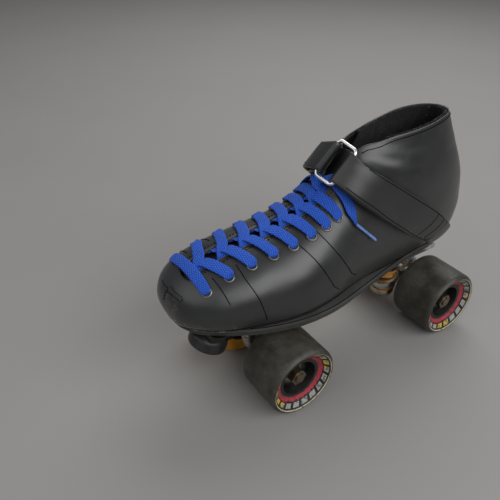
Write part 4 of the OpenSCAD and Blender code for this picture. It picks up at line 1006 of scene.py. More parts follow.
class SKATE_OT_lace(bpy.types.Operator):
    """Lace threaded through the eyelets, from the straight first bar up to the top row"""

    bl_idname = "skate.lace"
    bl_label = "Lace"

    def execute(self, context):
        sizes = context.scene.skate_sizes
        self.rows = sizes.eyelet_rows
        self.width, self.thick = sizes.lace_w / MM, sizes.lace_t / MM
        self.over = self.thick / 2 + FLANGE_T + 2 * PLAY
        self.under = -(CAD_LEATHER + self.thick / 2 + PLAY)
        self.pinch = EYELET_BORE / 2 - EYELET_EASE
        stations = [(FIRST_EYELET_U, 0, self.over, self.width / 2)]
        for side in (1, -1):
            half = self.entry(0, side) + self.strand(side) + self.tail(side)
            stations = half[::-1] + stations if side > 0 else stations + half
        last = len(stations) - 1
        places = [spline(stations, k / LACE_STEPS) for k in range(LACE_STEPS * last + 1)]
        points = [on_boot(*place[:3]) for place in places]
        rings = []
        for k, (u, f, lift, half) in enumerate(places):
            travel = (points[min(k + 1, len(points) - 1)] - points[max(k - 1, 0)]).normalized()
            along = boot_along(u, f)
            wide = (along - travel * along.dot(travel)).normalized()
            thick = travel.cross(wide)
            bunched = 1 + LACE_BUNCH * max(0, 1 - 2 * half / self.width)
            half *= 1 + LACE_UNEVEN * noise.noise(points[k] * 0.12)
            tilt = LACE_TILT * noise.noise(points[k] * 0.09 + Vector((40, 0, 0)))
            rings.append([
                points[k] + wide * a * half
                + thick * (b * (1 - LACE_THIN * a * a) * bunched + tilt * a) * self.thick / 2
                for a, b in band_section(LACE_ACROSS, self.thick, self.width)
            ])
        finish(loft(rings), "boot_lace", "lace cloth", "skate", "lace_cloth", ("lace",))
        return {"FINISHED"}

    def entry(self, row, side):
        """Way into an eyelet from above: places of (u, f, lift, half width)."""
        u = eyelet_u(row, self.rows)
        f = side * eyelet_angle(row, self.rows)
        return [
            (u, 0.84 * f, self.over, 0.48 * self.width),
            (u, 0.95 * f, self.over + 0.15, 0.43 * self.width),
            (u, 1.02 * f, self.over - 0.35 * self.thick, 0.33 * self.width),
            (u, f, -CAD_LEATHER - PLAY, self.pinch),
        ]

    def run(self, row, side, above):
        """Way from under an eyelet across the throat to the next row, above the other strand or below it."""
        u = eyelet_u(row, self.rows)
        step = eyelet_u(row + 1, self.rows) - u
        edge = angle_at(u + step / 2, THROAT_GAP / 2)
        f = 0.94 * side * eyelet_angle(row, self.rows)
        wide = 0.47 * self.width
        middle = 1.1 * self.thick if above else 0.1 * self.thick
        return [
            (u, f, self.under - self.thick / 3, self.pinch),
            (u + 0.2 * step, 1.1 * side * edge, self.under + 0.6, 0.42 * self.width),
            (u + 0.34 * step, 0.6 * side * edge, -0.4 * self.thick, wide),
            (u + 0.5 * step, 0, middle, wide),
            (u + 0.68 * step, -0.7 * side * edge, self.over - 0.2, self.width / 2),
        ] + self.entry(row + 1, -side)

    def strand(self, side):
        """All the crossings of the strand that starts on a side."""
        out = []
        for row in range(self.rows - 1):
            even = row % 2 == 0
            out += self.run(row, side if even else -side, even == (side > 0))
        return out

    def tail(self, side):
        """Way out of the last eyelet, under the leather, towards the throat."""
        row = self.rows - 1
        last_side = side if row % 2 == 0 else -side
        u = eyelet_u(row, self.rows)
        return [
            (u, 0.94 * last_side * eyelet_angle(row, self.rows), self.under, self.pinch),
            (u + 0.12, 1.25 * last_side * angle_at(u, THROAT_GAP / 2), self.under, 0.4 * self.width),
        ]


# Boot

# Lengths are in millimetres, and values that end in U are sections of the boot.
# Upper: share of its columns over the throat, their number, its step, and where its opening and rim begin
THROAT_SHARE = 0.18
UPPER_COLUMNS = 78
UPPER_STEP = 0.125
OPENING_U = 2.375
RIM_FROM_U = 11.5
RIM_ROWS = 28
# Rings between the tip of the toe and the first section, and how far the tip bulges
NOSE_RINGS = (0.02, 0.3, 0.6, 0.85)
NOSE_BULGE = 0.4
# Rounded foot of the throat: its reach and its depth, in sections
FOOT_REACH = 0.7
FOOT_DEEP = 0.12
# Upper end of the throat, and of the cut edges that show along it
THROAT_TOP_U = 9
THROAT_TOP_HALF = 3.5
EDGES_LAST_U = 7.6
# The leather's edge: how far it lies below the solid's rim on the inner side and at the front, how far it
# rises above it on the outer side, and the most that it may drop, in sections
RIM_LOW_INNER = 4.2
RIM_LOW_FRONT = 6.2
RIM_HIGH_OUTER = 2.6
RIM_MOST = 3.3
# Lining: its first section, its drop below the leather, its thickness, and its distance from the eyelets
LINING_FROM_U = 1.4
LINING_DROP = 0.4
LINING_T = 2
LINING_MARGIN = 2
LINING_ROWS = 130
LINING_HALF = 45
# Fibres of the pile: their number, how far down they reach, and the radius at foot and tip
FIBRES = 2200
FIBRES_DEEP = 22
FIBRE_R = 0.26
FIBRE_TIP_R = 0.05
# Tongue: half its width, its thickness, and its depth under the leather, which leaves room for the lace
LACE_ROOM = 1.4
TONGUE_HALF = 19
TONGUE_T = 4
TONGUE_DROP = CAD_LEATHER + LACE_ROOM + 5 * PLAY
TONGUE_ROWS = 50
TONGUE_TIP_ROWS = 4
# Heel strip: its first section, half its width at foot and top, and the place of its stitches across it
HEEL_STRIP_U = 10.9
HEEL_STRIP_HALF = (9, 6.5)
HEEL_STRIP_ROWS = 48
HEEL_SEWN_AT = 0.78
# Seam on the welt: the middle that it goes round, its distance from the edge, and the width of its dark line,
# which is painted shade of the stitch groove
WELT_MIDDLE = (20, -3)
WELT_SEAM_IN = 1.1
WELT_SEAM_W = 0.9
# Insole: half its width at heel and ball, and how far the ball is set over to the inner side
INSOLE_ROWS = 40
INSOLE_HALVES = (11, 32)
INSOLE_OFFSET = -12
# Seams of the upper: width and height of their dark lines, which are painted shade of the seam grooves,
# height of the thread, and distance from the edges
SEAM_W = 0.8
SEAM_RISE = 0.1
THREAD_RISE = 0.12
RIM_SEAM_DROP = 3.4
FACING_SEAM_IN = 3.2
# Heights of the dark lines along the foot of the upper: painted shade where it meets the welt
WELT_LINES = (0.8, 4.6)
# Sewn lines down each side of the upper, through places of (u, f)
SIDE_SEAMS = (
    ((2.98, 25), (3.06, 54), (3.10, 66)),
    ((3.67, 24), (3.69, 45), (3.82, 72), (3.94, 99), (3.98, 115)),
    ((5.12, 26), (5.60, 69), (6.08, 104)),
    ((5.74, 29), (5.97, 51), (6.36, 76), (6.78, 101)),
)
# Sewn lines on the toe: across it, down its front, and round the tab at the foot of the throat
TOE_SEAMS = (
    ((1.44, -35), (1.25, -19), (1.28, -3)),
    ((1.25, -4), (0.79, -8), (0.31, -13)),
    ((1.49, -2), (1.45, 12), (1.61, 28), (1.55, 34), (1.42, 36), (1.22, 19), (1.07, -2)),
)


def throat_half(u):
    """Half the gap of the throat at section u: it closes behind the strap."""
    return mix(THROAT_GAP / 2, THROAT_TOP_HALF, ease((u - THROAT_TOP_U) / 3))


def rim_drop(f):
    """How far the leather's edge lies below the solid's rim."""
    if f < 0:
        return RIM_LOW_INNER * ease((130 + f) / 70)
    front = RIM_LOW_FRONT * max(0, (40 - f) / 34) ** 2
    return front - RIM_HIGH_OUTER * ease((f - 35) / 30) * ease((165 - f) / 45)


def below_rim(f, drop):
    """Section that lies a drop in millimetres below the leather's edge."""
    rate = (boot_point(LAST_U, f) - boot_point(LAST_U - RIM_STEP, f)).length / RIM_STEP
    return LAST_U - min((drop + rim_drop(f)) / rate, RIM_MOST)


def wrinkle(point, f):
    """Height of the leather's slow unevenness, in millimetres."""
    slow = noise.noise(point * 0.045) * 0.55
    fold = noise.noise(Vector((point.x * 0.05, point.y * 0.05, point.z * 0.16))) * 0.25
    return (slow + fold) * min(1, abs(f) / 40)


class SKATE_OT_boot(bpy.types.Operator):
    """Leather upper with its lining, tongue, seams and insole"""

    bl_idname = "skate.boot"
    bl_label = "Boot"

    def execute(self, context):
        sizes = context.scene.skate_sizes
        self.upper(sizes)
        self.throat_edges(sizes)
        self.lining()
        self.fibres()
        self.tongue()
        self.seams(sizes)
        self.heel_strip(sizes)
        self.welt_seam(sizes)
        self.insole()
        return {"FINISHED"}

    def ring_angles(self, u):
        """Angles of the points round a section, closer together over the throat."""
        edge = min(angle_at(u, throat_half(u)), EDGE_LIMIT)
        out = []
        for c in range(UPPER_COLUMNS + 1):
            v = 2 * c / UPPER_COLUMNS - 1
            out.append(self.shared(v, edge))
        return out

    def shared(self, v, edge):
        """Angle at a share from -1 to 1 of the way round, with the throat's edges at fixed shares."""
        if abs(v) < THROAT_SHARE:
            return edge * v / THROAT_SHARE
        return math.copysign(mix(edge, 180, (abs(v) - THROAT_SHARE) / (1 - THROAT_SHARE)), v)

    def upper(self, sizes):
        """Leather from the tip of the toe to the rim, with the throat left open."""
        first = [boot_point(0, f) for f in self.ring_angles(0)]
        nose = sum(first, Vector()) / len(first)
        rings = []
        for share in NOSE_RINGS:
            bulge = Vector((NOSE_BULGE * (1 - share * share), 0, 0))
            rings.append([nose.lerp(p, share) + bulge for p in first])
        first_open = len(rings) + round(OPENING_U / UPPER_STEP)
        for k in range(round(RIM_FROM_U / UPPER_STEP) + 1):
            u = k * UPPER_STEP
            near = max(0, 1 - abs(u - OPENING_U) / FOOT_REACH)
            edge = angle_at(u, THROAT_GAP / 2)
            ring = []
            for f in self.ring_angles(u):
                ahead = u - FOOT_DEEP * near * max(0, 1 - (f / edge) ** 2)
                ring.append(on_boot(ahead, f, wrinkle(boot_point(ahead, f), f)))
            rings.append(ring)
        for k in range(1, RIM_ROWS + 1):
            t = k / RIM_ROWS
            ring = []
            for f in self.ring_angles(mix(RIM_FROM_U, LAST_U, t)):
                u = mix(RIM_FROM_U, below_rim(f, 0.9), t)
                ring.append(on_boot(u, f, wrinkle(boot_point(u, f), f)))
            rings.append(ring)
        for drop, lift in ((0.35, -0.2), (0, -0.8)):
            ring = []
            for f in self.ring_angles(LAST_U):
                u = below_rim(f, drop)
                ring.append(on_boot(u, f, lift + wrinkle(boot_point(u, f), f)))
            rings.append(ring)
        low = round(UPPER_COLUMNS * (1 - THROAT_SHARE) / 2)
        high = UPPER_COLUMNS - low

        def throat(row, column):
            return row >= first_open and low <= column < high

        bm = loft(rings, closed=False, capped=False, hole=throat)
        bmesh.ops.holes_fill(
            bm, edges=[e for e in bm.edges if e.is_boundary and e.verts[0].co.x > nose.x + 0.3], sides=0
        )
        bmesh.ops.recalc_face_normals(bm, faces=bm.faces)
        obj = finish(bm, "leather_upper", "boot leather", "skate", "boot_leather", ("boot_upper",))
        give_wall(obj, sizes.leather_t)
        soft = obj.modifiers.new("Subdivision", "SUBSURF")
        soft.levels = 1
        soft.render_levels = 1

    def throat_edges(self, sizes):
        """Raw cut edges of the leather on both sides of the throat."""
        parts = []
        deep = sizes.leather_t / MM
        for side in (1, -1):
            rings = []
            for k in range(91):
                u = mix(THROAT_U + 0.15, EDGES_LAST_U, k / 90)
                ring = []
                for ahead, lift in ((-0.45, -deep), (-0.45, -0.35), (0.5, -0.15), (0.5, -deep)):
                    distance = THROAT_GAP / 2 + ahead
                    f = side * min(angle_at(u, distance), EDGE_LIMIT)
                    ring.append(on_boot(u, f, lift + wrinkle(boot_point(u, f), f)))
                rings.append(ring)
            parts.append(loft(rings))
        finish(joined(parts), "throat_edges", "cut leather", "skate", "boot_leather", (), 40)

    def lining(self):
        """Pile that lines the boot, up to the eyelets at the front and the rim behind."""
        margin = EYELET_SETBACK + EYELET_FLANGE / 2 + LINING_MARGIN
        rings = []
        for k in range(LINING_ROWS + 1):
            t = k / LINING_ROWS
            edge = min(angle_at(mix(LINING_FROM_U, LAST_U, t), margin), EDGE_LIMIT)
            ring = []
            for c in range(-LINING_HALF, LINING_HALF + 1):
                side = -1 if c < 0 else 1
                f = mix(180, edge, abs(c) / LINING_HALF)
                u = mix(LINING_FROM_U, below_rim(side * f, LINING_DROP), t)
                p = boot_point(u, side * f, CAD_LEATHER)
                tuft = 0.5 * noise.noise(p * 0.3) + 0.3 * noise.noise(p * 0.8)
                ring.append(p + boot_normal(u, side * min(f, 170)) * tuft)
            rings.append(ring)
        bm = loft(rings, closed=False, capped=False)
        obj = finish(bm, "pile_lining", "lining pile", "skate", "lining_pile", ("boot_lining",))
        give_wall(obj, LINING_T * MM)

    def fibres(self):
        """Short fibres that stand out of the pile round the opening."""
        chance = random.Random(5)
        bm = bmesh.new()
        for _ in range(FIBRES):
            side = chance.choice((-1, 1))
            f = chance.uniform(EDGE_LIMIT + 3, 178)
            u = below_rim(side * f, LINING_DROP + FIBRES_DEEP * chance.random() ** 2.5)
            inward = -boot_normal(u, side * min(f, 170))
            lean = inward + boot_along(u, side * f) * chance.uniform(-0.3, 1.1)
            lean += Vector((chance.uniform(-0.5, 0.5), chance.uniform(-0.5, 0.5), 0))
            lean.normalize()
            reach = chance.uniform(0.9, 2.2)
            foot = boot_point(u, side * f, CAD_LEATHER)
            across = lean.orthogonal()
            bmesh.ops.create_cone(
                bm, cap_ends=True, segments=3, radius1=FIBRE_R, radius2=FIBRE_TIP_R, depth=reach,
                matrix=frame_at(foot + lean * reach / 2, across, lean),
            )
        finish(bm, "lining_fibres", "lining fluff", "skate", "lining_pile")

    def tongue(self):
        """Padded tongue under the lace, crowned across and thinner towards its upper end."""
        rings = []
        for k in range(TONGUE_ROWS + 1):
            u = mix(THROAT_U - 0.35, LAST_U - 3, k / TONGUE_ROWS)
            tip = max(0, (k - TONGUE_ROWS + TONGUE_TIP_ROWS) / TONGUE_TIP_ROWS)
            narrow = 1 - 0.35 * tip * tip
            edge = angle_at(u, TONGUE_HALF) * narrow
            ring = []
            for a, b in band_section(14, TONGUE_T, 2 * TONGUE_HALF):
                crown = 0.5 * (1 - a * a) + 0.12 * noise.noise(Vector((a * 2, u * 1.5, b)))
                level = mix(-TONGUE_T, 0, (b + 1) / 2) * (1 - 0.5 * tip * tip)
                puff = crown * (0.5 if b > 0 else -0.3)
                ring.append(on_boot(u, a * edge, -TONGUE_DROP + level - 0.5 + puff))
            rings.append(ring)
        obj = finish(loft(rings), "padded_tongue", "tongue leather", "skate", "tongue_leather", ("tongue",))

    def seams(self, sizes):
        """Sewn lines of the upper: sides, rim, facings of the throat and toe, with dark lines of painted
        shade along the sides and the rim, and along the foot, which has no stitches.
        """
        threads = bmesh.new()
        lines = []
        for side in (1, -1):
            sewn = [boot_path([(u, side * f) for u, f in places], 0.1, 24) for places in SIDE_SEAMS]
            rim = [(below_rim(side * f, RIM_SEAM_DROP), side * f) for f in range(20, 181, 8)]
            sewn.append(boot_path(rim, 0.15, 8))
            for path in sewn:
                # Dark line in the colour of the thread: painted shade in the seam's groove
                lines.append(strip(path, SEAM_W, SEAM_RISE))
                sew(threads, raised(path, THREAD_RISE), sizes)
            # Dark lines along the foot of the upper, with no stitches: painted shade where the upper meets
            # the welt
            for height in WELT_LINES:
                sections = [1.2 + 0.2 * k for k in range(50)]
                places = [(u, side * foot_angle(u, height)) for u in sections]
                lines.append(strip(boot_path(places, 0.15, 3), SEAM_W, SEAM_RISE))
            inward = THROAT_GAP / 2 + FACING_SEAM_IN
            facing = [(u, side * angle_at(u, inward)) for u in (2.75, 4, 5.2, 6.4, 7.4)]
            sew(threads, boot_path(facing, 0.15), sizes)
        for places in TOE_SEAMS:
            sew(threads, raised(boot_path(places, 0.1, 16), THREAD_RISE), sizes)
        finish(threads, "boot_stitches", "thread", "skate", "boot_leather")
        finish(joined(lines), "painted_seam_shade", "thread", "skate", "boot_leather")

    def heel_place(self, u, half):
        """Places across and above the heel strip at a section."""
        s = spline(SECTIONS, u)

        def place(a, rise):
            f = 180 - math.degrees(math.asin((abs(a) * half / s[5]) ** (1 / s[7])))
            f = math.copysign(f, a)
            return on_boot(u, f, rise + wrinkle(boot_point(u, f), f))

        return place

    def heel_strip(self, sizes):
        """Raised strip of leather sewn over the seam up the back of the heel."""
        rings, edges = [], {-HEEL_SEWN_AT: [], HEEL_SEWN_AT: []}
        for k in range(HEEL_STRIP_ROWS + 1):
            t = k / HEEL_STRIP_ROWS
            half = mix(*HEEL_STRIP_HALF, ease(t))
            place = self.heel_place(mix(HEEL_STRIP_U, below_rim(180, 1), t), half)
            rings.append([place(a, 0.45 * b + 0.3) for a, b in band_section(10, 1, 2 * half)])
            for a, path in edges.items():
                top = place(a, 0.85)
                path.append((top, (top - place(a, 0)).normalized()))
        finish(loft(rings), "heel_strip", "boot leather", "skate", "boot_leather")
        bm = bmesh.new()
        for path in edges.values():
            sew(bm, path, sizes)
        finish(bm, "heel_strip_stitches", "thread", "skate", "boot_leather")

    def welt_seam(self, sizes):
        """Stitches round the top of the welt, a little way in from its edge, in a dark line of painted shade.
        """
        points = [v.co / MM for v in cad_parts["welt"].data.vertices]
        top = max(p.z for p in points)
        middle = Vector((*WELT_MIDDLE, top))
        ring = {}
        for p in points:
            if p.z > top - 0.05:
                out = p - middle
                ring[round(math.atan2(out.y, out.x), 3)] = p
        order = [ring[key] for key in sorted(ring)]
        path = []
        for k, p in enumerate(order):
            travel = (order[(k + 1) % len(order)] - order[k - 1]).normalized()
            inward = Vector((-travel.y, travel.x, 0))
            path.append((p + inward * WELT_SEAM_IN + Vector((0, 0, 0.1)), Vector((0, 0, 1))))
        path.append(path[0])
        # Dark line in the colour of the thread: painted shade of the stitch groove
        bm = strip(path, WELT_SEAM_W, 0.05)
        sew(bm, path, sizes)
        finish(bm, "welt_stitches", "thread", "skate", "welt_leather")

    def insole(self):
        """Cloth-covered insole, wider and set over at the ball of the foot."""
        low, high = (Vector(corner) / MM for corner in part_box("insole"))
        rings = []
        for k in range(INSOLE_ROWS + 1):
            t = k / INSOLE_ROWS
            x = mix(low.x, high.x, t)
            lobe = (1 - abs(2 * t - 1) ** 5) ** 0.5
            half = lobe * mix(*INSOLE_HALVES, ease((t - 0.15) / 0.6)) + 0.2
            middle = mix(0, INSOLE_OFFSET, ease((t - 0.5) / 0.5))
            rings.append([
                Vector((x, middle + a * half, mix(low.z, high.z, (b + 1) / 2) - 0.6 * (1 - a * a) * (b > 0)))
                for a, b in band_section(8, 3, 60)
            ])
        finish(loft(rings), "cloth_insole", "insole cloth", "skate", "insole_cloth", ("insole",))


class SKATE_OT_eyelets(bpy.types.Operator):
    """Rolled metal eyelets of the lacing"""

    bl_idname = "skate.eyelets"
    bl_label = "Eyelets"

    def execute(self, context):
        rows = context.scene.skate_sizes.eyelet_rows
        bore, flange = EYELET_BORE / 2, EYELET_FLANGE / 2
        profile = [(bore, -2.2), (bore, 0.45), (bore + 0.35, 0.95), (bore + 0.9, 1.0), (flange - 0.3, 0.55),
                   (flange, 0.15), (flange - 0.5, 0.1), (bore + 0.5, 0.1), (bore + 0.5, -2.2)]
        bm = bmesh.new()
        for row in range(rows):
            u = eyelet_u(row, rows)
            for side in (-1, 1):
                f = side * eyelet_angle(row, rows)
                matrix = frame_at(boot_point(u, f), -boot_along(u, f), boot_normal(u, f))
                turned(bm, rounded(profile, 0.3), matrix, 24)
        finish(bm, "rolled_eyelets", "nickel", "skate", "eyelet_metal", ("eyelets",), 60)
        return {"FINISHED"}


# Ankle strap

# Lengths are in millimetres, and rows are counted down the side of the boot.
# Edges of the strap down the side of the boot: angle, and the sections of its lower and upper edges
STRAP_ROWS = (
    (14, 7.15, 10.35), (38, 7.5, 10.5), (60, 8.2, 10.5), (82, 8.9, 10.5), (112, 9.35, 10.4), (146, 9.5, 10.3),
)
# Wire ring: its section and angle on the boot, its height above it, its inside and its corners
RING_U = 8.4
RING_F = 6
RING_LIFT = 8
RING_INNER = (29, 16)
RING_CORNER = 4
# Folds round the bars of the ring: their length, inner radius and step in degrees, and the bars' distance
FOLD_L = 26
FOLD_R = 2.0
FOLD_TURN = 15
BAR_Y = 9.4
# Heights of the layers above the boot
STRAP_LIFT = 0.5
CLOSURE_LIFT = 3.0
CLOSURE_T = 0.9
FLAP_LIFT = 5.4
# First and last rows of the straps, of the part that is sewn down and of the loose end, and their steps
FIRST_ROW = 0.3
STRAP_STEPS = 44
SEWN_END_ROW = 2
SEWN_STEPS = 22
FLAP_FIRST_ROW = 0.45
FLAP_END_ROW = 3.92
FLAP_STEPS = 52
# Bend across the loose end, which is worked out but not used: its distance from the middle of the ring, and
# half its reach
HINGE_Y = 12.4
HINGE_HALF = 2.2
# Rounded tip of the loose end: its reach in rows, how far it is trimmed, and its fullness
TIP_ROWS = 0.55
TIP_TRIM = 0.42
TIP_FULL = 2.4
# Places of the stitches across the straps, and width and height of the dark line in which they lie, which is
# painted shade of their groove
STRAP_SEWN_AT = 0.84
FLAP_SEWN_AT = 0.86
STRAP_LINE_W = 0.8
STRAP_LINE_RISE = 0.06
STRAP_THREAD_RISE = 0.1
PILE_STEPS = 30
PILE_TRIM = 0.03


def ring_frame():
    """Placing matrix of the wire ring, with its bars along X."""
    x = -boot_along(RING_U, RING_F)
    return frame_at(on_boot(RING_U, RING_F, RING_LIFT), x, boot_normal(RING_U, RING_F))


def settle(row):
    """Share of a strap's height at the ring that is left at a row: it comes down to the boot."""
    return 1 - ease((row - 0.7) / 1.6)


def strap_place(side, row, lift, near_lift, trim=0.0):
    """Places across and through the strap at a row of its table."""
    f, low, high = spline(STRAP_ROWS, row)
    level = mix(lift, near_lift, settle(row))

    def place(a, rise):
        return on_boot(mix(low, high, mix(trim, 1 - trim, (a + 1) / 2)), side * f, level + rise)

    return place


def fold_place(side, turn):
    """Places across and through the strap where it turns round a bar of the ring."""
    frame_of_ring = ring_frame()
    t = math.radians(turn)

    def place(a, rise):
        r = FOLD_R + rise
        return frame_of_ring @ Vector((-FOLD_L * a / 2, side * (BAR_Y + r * math.cos(t)), r * math.sin(t)))

    return place


class SKATE_OT_strap(bpy.types.Operator):
    """Ankle strap with its ring, closure and loose end"""

    bl_idname = "skate.strap"
    bl_label = "Ankle strap"

    def execute(self, context):
        self.sizes = context.scene.skate_sizes
        self.thick = self.sizes.strap_t / MM
        self.section = band_section(12, 0.5 * self.thick, FOLD_L)
        self.under_straps()
        self.flap()
        self.closure()
        self.ring()
        return {"FINISHED"}

    def ring_of(self, place, inward):
        """Closed ring of points of the strap's section. Inward sections have their inside on the bar."""
        out = []
        for a, b in self.section:
            share = (1 - b) / 2 if inward else (b + 1) / 2
            out.append(place(a, self.thick * share))
        return out

    def rows(self, side, first, last, steps, lift, near_lift):
        return [strap_place(side, mix(first, last, k / steps), lift, near_lift) for k in range(steps + 1)]

    def under_straps(self):
        """Outer strap under the loose end, and inner strap, which turns round the ring and is sewn down."""
        near = RING_LIFT - FOLD_R - self.thick
        last = len(STRAP_ROWS) - 1
        outer = self.rows(1, FIRST_ROW, last, STRAP_STEPS, STRAP_LIFT, near)
        rings = [self.ring_of(fold_place(1, 270), True)]
        rings += [self.ring_of(place, False) for place in outer]
        finish(loft(rings), "outer_strap", "strap leather", "skate", "strap_leather", ("ankle_strap",))
        over = self.rows(-1, FIRST_ROW, SEWN_END_ROW, SEWN_STEPS, CLOSURE_LIFT, RING_LIFT + FOLD_R)
        fold = [fold_place(-1, turn) for turn in range(90, 271, FOLD_TURN)]
        inner = self.rows(-1, FIRST_ROW, last, STRAP_STEPS, STRAP_LIFT, near)
        rings = [self.ring_of(place, True) for place in over[::-1] + fold]
        rings += [self.ring_of(place, False) for place in inner]
        finish(loft(rings), "inner_strap", "strap leather", "skate", "strap_leather", ("ring_strap",))
        lines = self.sewing_lines(over[3:], (over[4], over[7]), STRAP_SEWN_AT, 12)
        finish(self.sewn(lines), "inner_strap_stitches", "thread", "skate", "strap_leather")

    def sewing_lines(self, places, ends, edge, steps):
        """Lines along both edges of a strap, and across it at its ends: rows of (place, share across)."""
        lines = [[(place, a) for place in places] for a in (-edge, edge)]
        for place in ends:
            lines.append([(place, mix(-edge, edge, i / steps)) for i in range(steps + 1)])
        return lines

    def sewn(self, lines):
        """Stitches in a sunken dark line, painted shade of their groove, for each line of places on the
        strap.
        """
        parts = [bmesh.new()]
        for line in lines:
            path = []
            for place, a in line:
                p = place(a, self.thick)
                path.append((p, (p - place(a, self.thick - 1)).normalized()))
            # Dark line in the colour of the thread: painted shade of the stitch groove
            parts.append(strip(path, STRAP_LINE_W, STRAP_LINE_RISE))
            sew(parts[0], raised(path, STRAP_THREAD_RISE), self.sizes)
        return joined(parts)

    def flap(self):
        """Loose end of the strap: it turns round the ring and lies over the closure."""
        out = []
        for k in range(FLAP_STEPS + 1):
            row = mix(FLAP_FIRST_ROW, FLAP_END_ROW, k / FLAP_STEPS)
            tip = min(max(0, 1 - (FLAP_END_ROW - row) / TIP_ROWS), 0.999)
            trim = TIP_TRIM * (1 - (1 - tip ** TIP_FULL) ** (1 / TIP_FULL))
            out.append(strap_place(1, row, FLAP_LIFT, RING_LIFT + FOLD_R, trim))
        fold = [fold_place(1, turn) for turn in range(270, 89, -FOLD_TURN)]
        rings = [self.ring_of(place, True) for place in fold + out]
        obj = finish(loft(rings), "strap_loose_end", "strap leather", None, "strap_leather", ("strap_flap",))
        ends = (out[FLAP_STEPS - 9], out[FLAP_STEPS - 4])
        lines = self.sewing_lines(out[2:FLAP_STEPS - 4], ends, FLAP_SEWN_AT, 16)
        threads = finish(self.sewn(lines), "strap_loose_stitches", "thread", None, "strap_leather")
        middle = FOLD_R + self.thick / 2
        start, end = (
            tuple(ring_frame() @ Vector((0, HINGE_Y + way * HINGE_HALF, middle)) * MM) for way in (-1, 1)
        )
        for piece in (obj, threads):
            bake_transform(piece)
            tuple(start)
            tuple(end)

    def closure(self):
        """Loop pile on the outer strap, and hook pile under the loose end."""
        hook_lift = FLAP_LIFT - CLOSURE_T - PLAY
        for name, node, lift, rows, body in (
            ("loop_pile", "loop_patch", CLOSURE_LIFT, (2.3, FLAP_END_ROW + 0.22), "skate"),
            ("hook_pile", "hook_patch", hook_lift, (2.6, FLAP_END_ROW - 0.28), "strap_end"),
        ):
            rings = []
            for k in range(PILE_STEPS + 1):
                place = strap_place(1, mix(*rows, k / PILE_STEPS), lift, lift, PILE_TRIM)
                rings.append([
                    place(a, CLOSURE_T * (b + 1) / 2) for a, b in band_section(12, CLOSURE_T, 22)
                ])
            finish(loft(rings), name, "closure cloth", body, "closure_cloth", (node,))

    def ring(self):
        """Bent wire ring that the strap and its loose end turn round."""
        wire = 0.5 * self.sizes.wire_d / MM
        half_x, half_y = RING_INNER[0] / 2 + wire, RING_INNER[1] / 2 + wire
        centres = []
        for quarter, (sx, sy) in enumerate(((1, 1), (-1, 1), (-1, -1), (1, -1))):
            for k in range(9):
                t = math.radians(90 * quarter + 90 * k / 8)
                out = Vector((math.cos(t), math.sin(t), 0))
                corner = Vector((sx * (half_x - RING_CORNER), sy * (half_y - RING_CORNER), 0))
                centres.append((corner + out * RING_CORNER, out))
        rings = []
        for point, out in centres + centres[:1]:
            rings.append([
                point + wire * (out * math.cos(t) + Vector((0, 0, 1)) * math.sin(t))
                for t in (2 * math.pi * k / 16 for k in range(16))
            ])
        bm = loft(rings, capped=False)
        bmesh.ops.transform(bm, matrix=ring_frame(), verts=bm.verts)
        bmesh.ops.recalc_face_normals(bm, faces=bm.faces)
        finish(bm, "wire_ring", "chrome", "skate", "ring_metal", ("strap_ring",))


# Plate, trucks and wheels

# Place of each axle along the skate, and the way from it to the middle
AXLES = {"front": (68.75, -1), "rear": (-102.75, 1)}
AXLE_Z = 31
# Distance from the middle of the skate at which the hubs end, at the foot of the tyres' dished sides
DISH_Y = 57
# The kingpin's place from the axle, towards the middle of the skate and up, and its lean
KINGPIN_IN = 23
KINGPIN_UP = 4
KINGPIN_LEAN = 18
KINGPIN_R = 4.75
# Foot and height of each cushion along the kingpin
CUSHIONS = {"upper": (3.8, 14), "lower": (-13.8, 10)}
CUSHION_R = 11
CUSHION_BULGE = 1
CUSHION_EDGE = 1.2
# Floor of each cup along the kingpin, and the way in which it opens
CUPS = ((17.8, -1), (-13.8, 1))
CUP_T = 1.6
CUP_DEEP = 4.4
CUP_LIP = 0.3
CUP_RIM = 1.1
CUP_EASE = 0.03
CUP_CORNER = 0.8
# Outline of a tyre: radius, and distance from the middle of the skate
TYRE_OUTLINE = (
    (18.05, DISH_Y), (19.6, 57.2), (27.9, 63.6), (28.5, 64), (29.3, 63.3), (30.4, 61.8), (30.95, 60),
    (31, 56), (31, 28), (30.95, 24), (30.4, 22.2), (29.3, 20.7), (28.5, 20), (26.6, 20.3), (19.6, 21.8),
    (18.05, 22),
)
# Outline of the toe plug: radius, and distance along its bolt
PLUG_OUTLINE = (
    (4.3, 5), (10, 5), (13, 7.6), (15.6, 10.4), (16, 13), (16, 17.6), (14.6, 20), (7.6, 20), (7.6, 13.5),
    (4.3, 13.5),
)
PLUG_PLACE = Vector((112, 0, 67))
PLUG_LEAN = 25


def kingpin_frame(end):
    """Placing matrix of a truck's kingpin, with Z up along it."""
    x, away = AXLES[end]
    lean = math.radians(KINGPIN_LEAN)
    z = Vector((away * math.sin(lean), 0, math.cos(lean)))
    return frame_at(Vector((x + away * KINGPIN_IN, 0, AXLE_Z + KINGPIN_UP)), Vector((1, 0, 0)), z)


